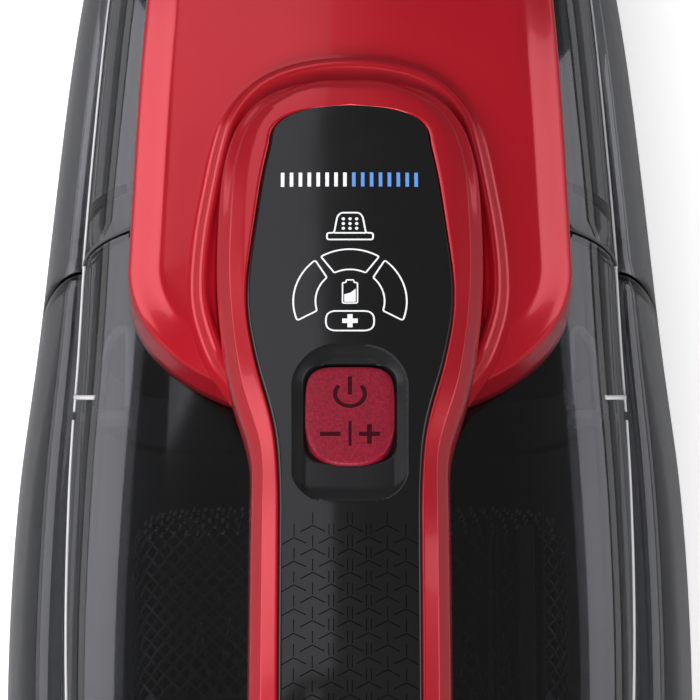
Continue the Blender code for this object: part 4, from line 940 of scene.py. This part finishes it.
def make_button():
    centre, turn = button_frame()
    rows = []
    for inset, z in ((0.0, -5.0), (0.0, -1.9), (0.04, -1.35), (0.16, -1.08), (0.38, -0.92), (0.75, -0.82),
                     (1.4, -0.76), (2.6, -0.7), (4.4, -0.64), (6.4, -0.6), (8.0, -0.58)):
        rows.append([turn @ Vector((x, y, z)) + centre for x, y in button_outline(inset)])
    piece("button_cap", wrapped(rows), "power_button", "crimson_grain", ["power_button"], 50.0)
    # The symbols are drawn in a darker crimson for the shade in their debossed lines, and a paler copy set slightly
    # down and to one side paints the highlight on their lips: painted shade and painted highlight.
    marks, edges = bmesh.new(), bmesh.new()
    arc = [(2.85 * math.sin(math.radians(a)), 4.3 + 2.85 * math.cos(math.radians(a))) for a in range(48, 313, 8)]
    lines = [(arc, 0.85), ([(0, 4.1), (0, 5.5), (0, 6.9), (0, 8.4)], 0.85),
             ([(-5.7, -4.9), (-3.8, -4.9), (-1.8, -4.9)], 0.95), ([(0, -7.6), (0, -5), (0, -2.0)], 0.6),
             ([(1.7, -4.9), (3.7, -4.9), (5.7, -4.9)], 0.95), ([(3.7, -7.1), (3.7, -4.9), (3.7, -2.7)], 0.95)]
    for line, width in lines:
        joined(marks, stroke(line, width, False))
        joined(edges, stroke([(x + 0.05, y - 0.09) for x, y in line], width + 0.16, False))
    for bm, lift in ((marks, 0.045), (edges, 0.02)):
        for vertex in bm.verts:
            x, y = vertex.co.x, vertex.co.y
            drop = -0.58 - 0.0021 * max(0.0, x * x + y * y - 6)
            vertex.co = turn @ Vector((x, y, drop - 0.1 + (0.1 + lift) * vertex.co.z)) + centre
    piece("button_mark_shade", marks, "power_button", "crimson_mark_shade")
    piece("button_mark_highlights", edges, "power_button", "crimson_mark_highlight")


# ------------------------------------------------------------------ printed marks

def stroke(points, width, closed, rise=1.0):
    """A flat ribbon along (x, y) points with a small thickness. Its z is 0 below and rise above."""
    count = len(points)
    left, right = [], []
    for k in range(count):
        a = points[(k - 1) % count] if closed or k > 0 else points[k]
        b = points[(k + 1) % count] if closed or k < count - 1 else points[k]
        dx, dy = b[0] - a[0], b[1] - a[1]
        length = math.hypot(dx, dy)
        nx, ny = -dy / length * width / 2, dx / length * width / 2
        left.append((points[k][0] + nx, points[k][1] + ny))
        right.append((points[k][0] - nx, points[k][1] - ny))
    rings = [[Vector((*l, 0)), Vector((*l, rise)), Vector((*r, rise)), Vector((*r, 0))] for l, r in zip(left, right)]
    return wrapped(rings, closed_along=closed)


def round_corners(points, radius, steps=5):
    """A closed outline with its corners rounded."""
    out = []
    count = len(points)
    for k in range(count):
        p = Vector(points[k])
        a, b = (Vector(points[k - 1]) - p), (Vector(points[(k + 1) % count]) - p)
        cut = min(radius, a.length * 0.45, b.length * 0.45)
        start, end = p + a.normalized() * cut, p + b.normalized() * cut
        for i in range(steps + 1):
            t = i / steps
            out.append(tuple((1 - t) ** 2 * start + 2 * t * (1 - t) * p + t**2 * end))
    return out


def dense(points, step=0.6, closed=True):
    out = []
    for a, b in zip(points, points[1:] + ([points[0]] if closed else [])):
        n = max(1, int(math.hypot(b[0] - a[0], b[1] - a[1]) / step))
        out += [(a[0] + (b[0] - a[0]) * i / n, a[1] + (b[1] - a[1]) * i / n) for i in range(n)]
    return out if closed else out + [points[-1]]


def disc(x, y, radius, steps=14):
    rings = [[Vector((x + r * math.cos(2 * math.pi * i / steps), y + r * math.sin(2 * math.pi * i / steps), z))
              for i in range(steps)] for r, z in ((radius, 0.0), (radius, 1.0))]
    return wrapped(rings)


def bar(x0, y0, x1, y1):
    """A printed rectangle."""
    rows = [[Vector((x0, y, 0)), Vector((x0, y, 1)), Vector(((x0 + x1) / 2, y, 1)), Vector((x1, y, 1)),
             Vector((x1, y, 0))] for y in spaced(y0, y1, 0.7)]
    return wrapped(rows)


def lay_on_inlay(bm, name, finish):
    """Lays flat marks on the handle's top as a thin print."""
    for vertex in bm.verts:
        z = handle_surface(vertex.co.x, vertex.co.y)
        vertex.co.z = z - 0.03 + 0.07 * vertex.co.z
    piece(name, bm, "motor_unit", finish)


def make_marks():
    white = bmesh.new()
    line = 0.33
    hat = [(-4.5, -19.0), (4.5, -19.0), (4.5, -17.5), (3.1, -17.5), (2.5, -13.8), (1.8, -12.9), (-1.8, -12.9),
           (-2.5, -13.8), (-3.1, -17.5), (-4.5, -17.5)]
    hat = [(x, y - 0.7) for x, y in hat]
    joined(white, stroke(dense(round_corners(hat, 0.5)), line, True))
    joined(white, stroke(dense([(-3.1, -18.2), (3.1, -18.2)], 0.6, False), line, False))
    for i in range(3):
        for k in range(3):
            joined(white, disc(-1.3 + 1.3 * i, -15.0 - 1.08 * k, 0.33))
    centre_y = -33.7
    for start, end in ((-31, 31), (38, 112), (-112, -38)):
        outer = [(11.0 * math.sin(math.radians(a)), centre_y + 11.8 * math.cos(math.radians(a)))
                 for a in np.linspace(start, end, 16)]
        inner = [(6.7 * math.sin(math.radians(a)), centre_y + 7.2 * math.cos(math.radians(a)))
                 for a in np.linspace(end - (4 if end > start else 0), start + 4, 12)]
        joined(white, stroke(round_ends(outer + inner), line, True))
    battery = [(-1.45, -34.2), (1.45, -34.2), (1.45, -29.5), (0.75, -29.5), (0.75, -28.9), (-0.75, -28.9),
               (-0.75, -29.5), (-1.45, -29.5)]
    joined(white, stroke(dense(round_corners(battery, 0.35)), 0.28, True))
    charge = [[Vector((x, y, z)) for x, y in ((-1.1, -33.9), (1.1, -33.9), (1.1, -30.9), (0.1, -31.8), (-1.1, -32.2))]
              for z in (0.0, 1.0)]
    joined(white, wrapped(charge))
    pill = [(-4.65, -40.5), (4.65, -40.5), (4.65, -36.0), (-4.65, -36.0)]
    joined(white, stroke(dense(round_corners(pill, 2.0, 8)), line, True))
    joined(white, bar(-1.5, -38.75, 1.5, -37.75))
    joined(white, bar(-0.5, -39.75, 0.5, -38.76))
    joined(white, bar(-0.5, -37.74, 0.5, -36.75))
    for i in range(8):
        joined(white, bar(-13.6 + 1.75 * i, -7.6, -12.9 + 1.75 * i, -4.4))
    lay_on_inlay(white, "display_marks", "mark_white")
    blue = bmesh.new()
    for i in range(8):
        joined(blue, bar(0.4 + 1.75 * i, -7.6, 1.1 + 1.75 * i, -4.4))
    lay_on_inlay(blue, "display_bar", "mark_blue")


def round_ends(points):
    """A closed outline with its corners slightly rounded and its points close together."""
    return dense(round_corners(dense(points, 50.0), 0.45, 3), 0.8)


# ------------------------------------------------------------------ inside the bowl

def soft_ring(y, half_x, half_z, centre_z, count=120, exponent=4.0):
    return [
        Vector((
            half_x * power(math.sin(2 * math.pi * i / count), 2 / exponent), y,
            centre_z + half_z * power(math.cos(2 * math.pi * i / count), 2 / exponent),
        ))
        for i in range(count)
    ]


def even_ring(y, half_x, half_z, centre_z, count, turn=0.0, exponent=4.0):
    """A soft ring whose points are evenly spaced round it, turned by a share of one step."""
    fine = soft_ring(y, half_x, half_z, centre_z, 720, exponent)
    lengths = run_lengths(fine + fine[:1])
    total = lengths[-1]
    ring = []
    for i in range(count):
        want = total * ((i + turn) % count) / count
        k = int(np.searchsorted(lengths, want, side="right")) - 1
        span = lengths[k + 1] - lengths[k]
        t = (want - lengths[k]) / span if span else 0.0
        ring.append(fine[k % 720].lerp(fine[(k + 1) % 720], t))
    return ring


def make_basket():
    """The pre-filter basket. Each cell of its grid is split to a diamond, and each diamond has a hole."""
    front_y, rear_y = -60.8, -104.8
    centre_z, half_z, half_x = 43.5, 31.5, 44.5
    path = [(y, 0.0) for y in spaced(rear_y, front_y - 6.5, 3.2)]
    path += [(front_y - 3.6, 0.9), (front_y - 1.2, 2.9), (front_y - 0.1, 5.8), (front_y, 9.0), (front_y, 12.2),
             (front_y, 15.4), (front_y, 18.6), (front_y, 21.8), (front_y, 25.0), (front_y, 28.2)]
    rings = [even_ring(y, half_x - inset, half_z - inset, centre_z, 88, 0.0, BASKET_POWER) for y, inset in path]
    bm = wrapped(rings, caps=False)
    bmesh.ops.recalc_face_normals(bm, faces=bm.faces)
    facing_out(bm, (0, -90, centre_z))
    solid = {f for f in bm.faces if f.calc_center_median().y < rear_y + 3.2}
    cells = [f for f in bm.faces if f not in solid]
    old = {e for f in cells for e in f.edges if all(g not in solid for g in e.link_faces) and len(e.link_faces) == 2}
    bmesh.ops.poke(bm, faces=cells)
    bmesh.ops.dissolve_edges(bm, edges=[e for e in old if e.is_valid], use_verts=False, use_face_split=False)
    holes = [f for f in bm.faces if len(f.verts) == 4 and f not in solid]
    bmesh.ops.inset_individual(bm, faces=holes, thickness=0.42, depth=0.0)
    bmesh.ops.delete(bm, geom=holes, context="FACES")
    piece("basket_mesh", bm, "filter", "mesh_black", ["pre_filter_basket"], 60.0, [wall(0.8)])
    rim = wrapped([soft_ring(y, half_x + g, half_z + g, centre_z, 120, BASKET_POWER) for y, g in
                   ((rear_y, 0.2), (rear_y, 1.6), (rear_y + 0.4, 2.0), (rear_y + 2.2, 2.0), (rear_y + 2.8, 1.2),
                    (rear_y + 2.8, 0.2), (rear_y + 1.4, -1.1))], closed_along=True)
    piece("basket_rim", rim, "filter", "satin_black", (), 40.0)
    # Small steel studs along the front rows of the basket stand for the glints on its hole rims: painted highlight.
    studs = bmesh.new()
    glint_rows = ((-61.3, 4.1), (-62.3, 2.6), (-63.4, 1.6), (-64.6, 0.8), (-65.9, 0.3), (-67.4, 0.0))
    for row, (y, inset) in enumerate(glint_rows):
        ring = soft_ring(y, half_x - inset + 0.05, half_z - inset + 0.05, centre_z, 480, BASKET_POWER)
        top = sorted([p for p in ring if p.z > centre_z and abs(p.x) < 41], key=lambda p: p.x)
        reach = -100.0
        for p in top:
            if p.x - reach < 2.2:
                continue
            reach = p.x if reach > -99 else p.x - 2.2 + 1.1 * (row % 2)
            if reach != p.x:
                continue
            joined(studs, bead([p + Vector((-0.15, -0.5, -0.02)), p, p + Vector((0.15, 0.55, -0.35))], 0.3, 6))
    piece("basket_glint_studs", studs, "filter", "steel", (), 40.0)
    rails = block((27.3, -103, 74.4), (28.1, -64, 77.6), 0.25)
    joined(rails, block((28.9, -103, 74.4), (29.3, -66, 76.8), 0.15))
    joined(rails, block((33.3, -103, 73.6), (36.6, -66, 76.2), 0.5))
    joined(rails, block((37.9, -103, 72.6), (38.5, -62, 75.4), 0.2))
    piece("basket_rails", rails, "filter", "inner_grey", (), 40.0)


def make_inner_arches():
    """Two arched ribs inside the bowl, under its shoulders. Their pale glossy grey also paints the bright crescents
    seen inside there: partly painted highlight.
    """
    ribs = bmesh.new()
    for side in (-1, 1):
        spine = curve_through([(50.6, -40.0), (50.0, -36.2), (48.9, -27.0), (47.2, -23.6), (45.6, -23.0), (44.6, -24.2),
                               (44.4, -29.0), (44.4, -40.0)], 0.7)
        rings = []
        for k, (x, y) in enumerate(spine):
            nx, ny = across_path(spine, k)
            z = dome_height(x, y) - 7.0
            rings.append([Vector((side * (x + nx * 0.9 * math.cos(a)), y + ny * 0.9 * math.cos(a),
                                  z + 1.6 * math.sin(a))) for a in np.linspace(0, 2 * math.pi, 13)[:-1]])
        joined(ribs, wrapped(rings))
        low, high = sorted((side * 44.2, side * 51.0))
        joined(ribs, block((low, -41.5, 62.0), (high, -39.5, 69.0), 0.5))
    bmesh.ops.recalc_face_normals(ribs, faces=ribs.faces)
    piece("inner_arches", ribs, "dust_cup", "pale_rib_highlight_grey")


def make_duct():
    rear, front = SEAM_Y - 20, SEAM_Y + 86
    path = [(rear, 0.0), (rear, 1.2), (rear + 1.2, 1.2), (rear + 1.8, 0.2)]
    path += [(y, 0.0) for y in spaced(rear + 3, front, 6)]
    path += [(front, -0.8), (front, -1.5)] + [(y, -1.6) for y in spaced(front - 1, rear + 1, 6)]
    bm = wrapped([soft_ring(y, 23 + g, 14 + g, 36.0, 80) for y, g in path], closed_along=True)
    for side in (-1, 1):
        low, high = sorted((side * 22.2, side * 24.6))
        joined(bm, block((low, rear - 4.4, 38), (high, rear + 10, 57), 0.8))
    piece("duct_skin", bm, "dust_cup", "inner_grey", ["inlet_duct"], 40.0)


# ------------------------------------------------------------------ motor housing

def half_housing(upper):
    stations = [REAR_END + d for d in (0, 0.4, 1.0, 1.8, 2.8, 4, 5.5, 7.2, 9, 11, 13.5, 16, 19, 22, 26, 30, 35, 40)]
    stations += spaced(REAR_END + 46, BOWL_END - 1.0, 5.0) + [BOWL_END - 0.6]
    rings = [body_ring(y) for y in stations] + [body_ring(BOWL_END - 0.45, -0.15), body_ring(BOWL_END - 0.4, -0.5)]
    bm = wrapped(rings, caps=False)
    rim = [e for e in bm.edges if e.is_boundary and all(v.co.y < REAR_END + 0.5 for v in e.verts)]
    bmesh.ops.contextual_create(bm, geom=rim)
    bmesh.ops.recalc_face_normals(bm, faces=bm.faces)
    facing_out(bm, (0, -160, 40))
    level = SPLIT_HEIGHT + (0.2 if upper else -0.2)
    bmesh.ops.bisect_plane(bm, geom=bm.verts[:] + bm.edges[:] + bm.faces[:], dist=0.001, plane_co=(0, 0, level),
                           plane_no=(0, 0, 1), clear_inner=upper, clear_outer=not upper)
    return bm


def cut_by(obj, cutter_bm):
    """Cuts a closed shape out of a piece and keeps the result as its mesh."""
    data = bpy.data.meshes.new("cut")
    bmesh.ops.scale(cutter_bm, vec=(MM, MM, MM), verts=cutter_bm.verts)
    cutter_bm.to_mesh(data)
    cutter_bm.free()
    cutter = placed("cut", data)
    cut = obj.modifiers.new("cut", "BOOLEAN")
    cut.object = cutter
    cut.solver = "EXACT"
    bpy.context.view_layer.update()
    graph = bpy.context.evaluated_depsgraph_get()
    made = bpy.data.meshes.new_from_object(obj.evaluated_get(graph))
    obj.modifiers.clear()
    old = obj.data
    obj.data = made
    bpy.data.meshes.remove(old)
    bpy.data.objects.remove(cutter)
    obj.data.shade_smooth()
    obj.data.set_sharp_from_angle(angle=math.radians(35))
    return obj


def make_housing():
    piece("housing_crown", half_housing(True), "motor_unit", "chili_red", ["motor_housing_upper"], 45.0,
          [wall(1.8)])
    base = piece("housing_base", half_housing(False), "motor_unit", "charcoal", ["motor_housing_lower"],
                 45.0, [wall(1.8)])
    cuts = bmesh.new()
    for i in range(9):
        joined(cuts, block((-100, BOWL_END - 30.2 - 5.6 * i, 20.5), (100, BOWL_END - 27.4 - 5.6 * i, 42.5), 1.2, 3))
    joined(cuts, lathe([(0, -15), (5.6, -15), (5.6, 15), (0, 15)], (0, REAR_END, 40), "Y", 40))
    joined(cuts, block((-11.3, BOWL_END - 37.3, -5), (11.3, BOWL_END - 25.7, 9), 1.0))
    cut_by(base, cuts)


# ------------------------------------------------------------------ brush and crevice tool

HINGE_Z = float(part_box("brush_pin")[0][2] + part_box("brush_pin")[1][2]) / 2 / MM


def set_in(bm, turn, centre):
    """Turns a shape built at the origin and moves it to its place."""
    for vertex in bm.verts:
        vertex.co = turn @ vertex.co + centre
    bmesh.ops.recalc_face_normals(bm, faces=bm.faces)


def brush_frame():
    """The brush's pin, and the turn that lays the brush back along the nozzle."""
    slope = math.atan2(top_height(HINGE_Y - 30) - top_height(HINGE_Y), 30)
    turn = Matrix.Rotation(-slope, 3, "X") @ Matrix.Rotation(math.pi, 3, "Z")
    return Vector((0, HINGE_Y, HINGE_Z)), turn


def make_brush():
    centre, turn = brush_frame()
    arm = block((-28, 1.2, -2.1), (28, 15, 2.1), 0.7)
    joined(arm, lathe([(1.5, -28), (2.6, -28), (2.9, -27.6), (2.9, 27.6), (2.6, 28), (1.5, 28)], (0, 0, 0), "X", 32))
    for i in range(9):
        x = -22 + 5.5 * i
        joined(arm, block((x - 0.5, 3.5, 1.9), (x + 0.5, 12.5, 2.5), 0.2))
    set_in(arm, turn, centre)
    piece("brush_back", arm, "brush", "charcoal", ["brush_arm"], 40.0)
    hair = bmesh.new()
    for row in range(3):
        for i in range(62):
            x = -25.6 + 51.2 * (i + 0.5 * (row % 2)) / 62
            z = -0.9 + 0.9 * row
            drift = 0.9 * math.sin(i * 2.4 + row * 1.7)
            length = 13.4 + 0.5 * math.sin(i * 5.1 + row)
            hair_made = bmesh.new()
            bmesh.ops.create_cone(hair_made, cap_ends=True, segments=5, radius1=0.2, radius2=0.12, depth=length)
            bmesh.ops.rotate(hair_made, cent=(0, 0, 0), matrix=Matrix.Rotation(-math.pi / 2, 3, "X"),
                             verts=hair_made.verts)
            for vertex in hair_made.verts:
                t = (vertex.co.y + length / 2) / length
                vertex.co += Vector((x + drift * t, 14.8 + length / 2, z + 0.8 * (row - 1) * t))
            joined(hair, hair_made)
    set_in(hair, turn, centre)
    piece("brush_hair", hair, "brush", "nylon", ["brush_bristles"])


def make_crevice():
    front = TIP - 15
    path = [(front - 110, 0.3), (front - 109.6, 0.0)] + [(y, 0.0) for y in spaced(front - 105, front - 40, 8)]
    path += [(y, 2.0 * (y - front + 40) / 40) for y in spaced(front - 36, front - 0.4, 6)] + [(front, 2.2)]
    inner = [(y, s + 1.5) for y, s in reversed(path)]
    rings = [soft_ring(y, 13 - s, 7.5 - s / 2 if s < 2.4 else 7.5 - s * 0.75, 20.5 - min(s, 2.0) / 2, 72)
             for y, s in path + inner]
    bm = wrapped(rings, closed_along=True)
    piece("crevice_skin", bm, "crevice_tool", "charcoal", ["crevice_tool"], 40.0)


# ------------------------------------------------------------------ stage

def make_stage():
    bm = bmesh.new()
    bmesh.ops.create_grid(bm, x_segments=1, y_segments=1, size=4.0)
    data = bpy.data.meshes.new("floor")
    bm.to_mesh(data)
    bm.free()
    floor = placed("floor", data)
    made, tree, shader, place = blank("floor_white")
    tone = noise(tree, place, 400.0, 2.0)
    seen = node_of(tree, "ShaderNodeLightPath").outputs["Is Camera Ray"]
    pale = node_of(tree, "ShaderNodeMix", data_type="RGBA")
    tree.links.new(seen, pale.inputs[0])
    tree.links.new(blend_colours(tree, tone, (0.31, 0.31, 0.31), (0.29, 0.29, 0.29)), pale.inputs[6])
    tree.links.new(blend_colours(tree, tone, (0.95, 0.95, 0.95), (0.93, 0.93, 0.93)), pale.inputs[7])
    tree.links.new(pale.outputs[2], shader.inputs["Base Color"])
    shader.inputs["Emission Color"].default_value = (1, 1, 1, 1)
    tree.links.new(ranged(tree, seen, 0.0, 0.5, 0.0, 1.0), shader.inputs["Emission Strength"])
    shader.inputs["Roughness"].default_value = 0.7
    data.materials.append(made)
    world = bpy.data.worlds.new("studio")
    bpy.context.scene.world = world
    world.use_nodes = True
    world.node_tree.nodes["Background"].inputs[0].default_value = (1, 1, 1, 1)
    world.node_tree.nodes["Background"].inputs[1].default_value = 0.15


def softbox(name, place, target, size, radiance, tone=(1, 1, 1)):
    data = bpy.data.lights.new(name, "AREA")
    data.shape = "RECTANGLE"
    data.size, data.size_y = size
    data.energy = radiance * math.pi * size[0] * size[1]
    data.color = tone
    obj = placed(name, data)
    obj.location = place
    way = Vector(target) - Vector(place)
    obj.rotation_euler = way.to_track_quat("-Z", "Y").to_euler()


CAMERA_LENS, SENSOR = 257.0, 36.0
CAMERA_TILT, CAMERA_DISTANCE = 71.0, 0.96
CAMERA_TARGET = (0, -0.045, 0.1225)


def make_lights_and_camera():
    cool = (0.96, 0.93, 1.0)
    softbox("front_left", (-0.60, 1.29, 1.30), (-0.60, 0.19, 0.10), (1.12, 1.75), 1.05, cool)
    softbox("over_grip", (-0.20, 0.30, 1.55), (-0.20, 0.30, 0.0), (0.2, 0.30), 0.6)
    softbox("left_strip", (-1.08, 0.30, 0.56), (0, -0.02, 0.08), (1.0, 0.58), 2.9, cool)
    softbox("right_strip", (1.12, 0.25, 0.56), (0, -0.02, 0.08), (0.9, 0.50), 2.3, cool)
    softbox("left_low", (-1.7, 0.1, 0.22), (0, 0, 0.16), (2.4, 0.26), 1.5)
    softbox("right_low", (1.7, 0.1, 0.22), (0, 0, 0.16), (2.4, 0.26), 1.4)
    softbox("key", (-0.30, -1.35, 1.35), (0, 0.0, 0.08), (1.3, 0.9), 9.6)
    camera = bpy.data.cameras.new("camera")
    camera.lens = CAMERA_LENS
    camera.sensor_width = SENSOR
    camera.clip_start, camera.clip_end = 0.05, 20.0
    obj = placed("camera", camera)
    tilt = math.radians(CAMERA_TILT)
    away = Vector((0, -math.cos(tilt), math.sin(tilt)))
    obj.location = Vector(CAMERA_TARGET) + away * CAMERA_DISTANCE
    obj.rotation_euler = (-away).to_track_quat("-Z", "Y").to_euler()
    bpy.context.scene.camera = obj
    bpy.context.scene.view_settings.view_transform = "Standard"


NODE_FINISH = {
    "chili_red": ["motor_housing_upper", "handle_shell", "spine_cover"],
    "smoke": ["dust_bowl", "nozzle_shell"],
    "satin_black": ["handle_inlay", "nozzle_lip", "charge_jack", "pre_filter_basket", "fan_impeller",
                    "motor_end_bell"],
    "charcoal": ["motor_housing_lower", "nozzle_bulkhead", "crevice_guide", "crevice_tool", "brush_arm"],
    "inner_grey": ["inlet_duct"],
    "matte_grey": ["bulkhead", "fan_shroud", "motor_cradle_front", "motor_cradle_rear", "filter_frame"],
    "crimson_grain": ["power_button", "release_button"],
    "rubber": ["switch_dome", "inlet_flap", "filter_seal", "motor_mount_front", "motor_mount_rear",
               "rear_foot_left", "rear_foot_right", "front_foot_left", "front_foot_right"],
    "nylon": ["brush_bristles"],
    "steel": ["motor_can", "motor_shaft", "flap_pin", "brush_pin", "charge_pin", "release_spring",
              "bulkhead_screw_1", "bulkhead_screw_2", "bulkhead_screw_3", "bulkhead_screw_4"],
    "copper": ["battery_bus"],
    "filter_cloth": ["pleated_filter"],
    "board": ["switch_board", "display_board", "control_board"],
    "cell_wrap": ["cell_lower_left", "cell_lower_right", "cell_upper_left", "cell_upper_right"],
    "light_guide": ["light_guide"],
    "wire_red": ["motor_lead_red"],
    "wire_black": ["motor_lead_black"],
}


def finish_nodes():
    for finish, names in NODE_FINISH.items():
        for name in names:
            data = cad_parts[name].data
            data.materials.clear()
            data.materials.append(FINISH[finish])


make_stage()
make_lights_and_camera()
finish_nodes()
make_bowl()
make_highlight_beads()
make_spine()
make_handle()
make_inlay()
make_grip_shade_lines()
make_button()
make_marks()
make_basket()
make_duct()
make_inner_arches()
make_housing()
make_brush()
make_crevice()
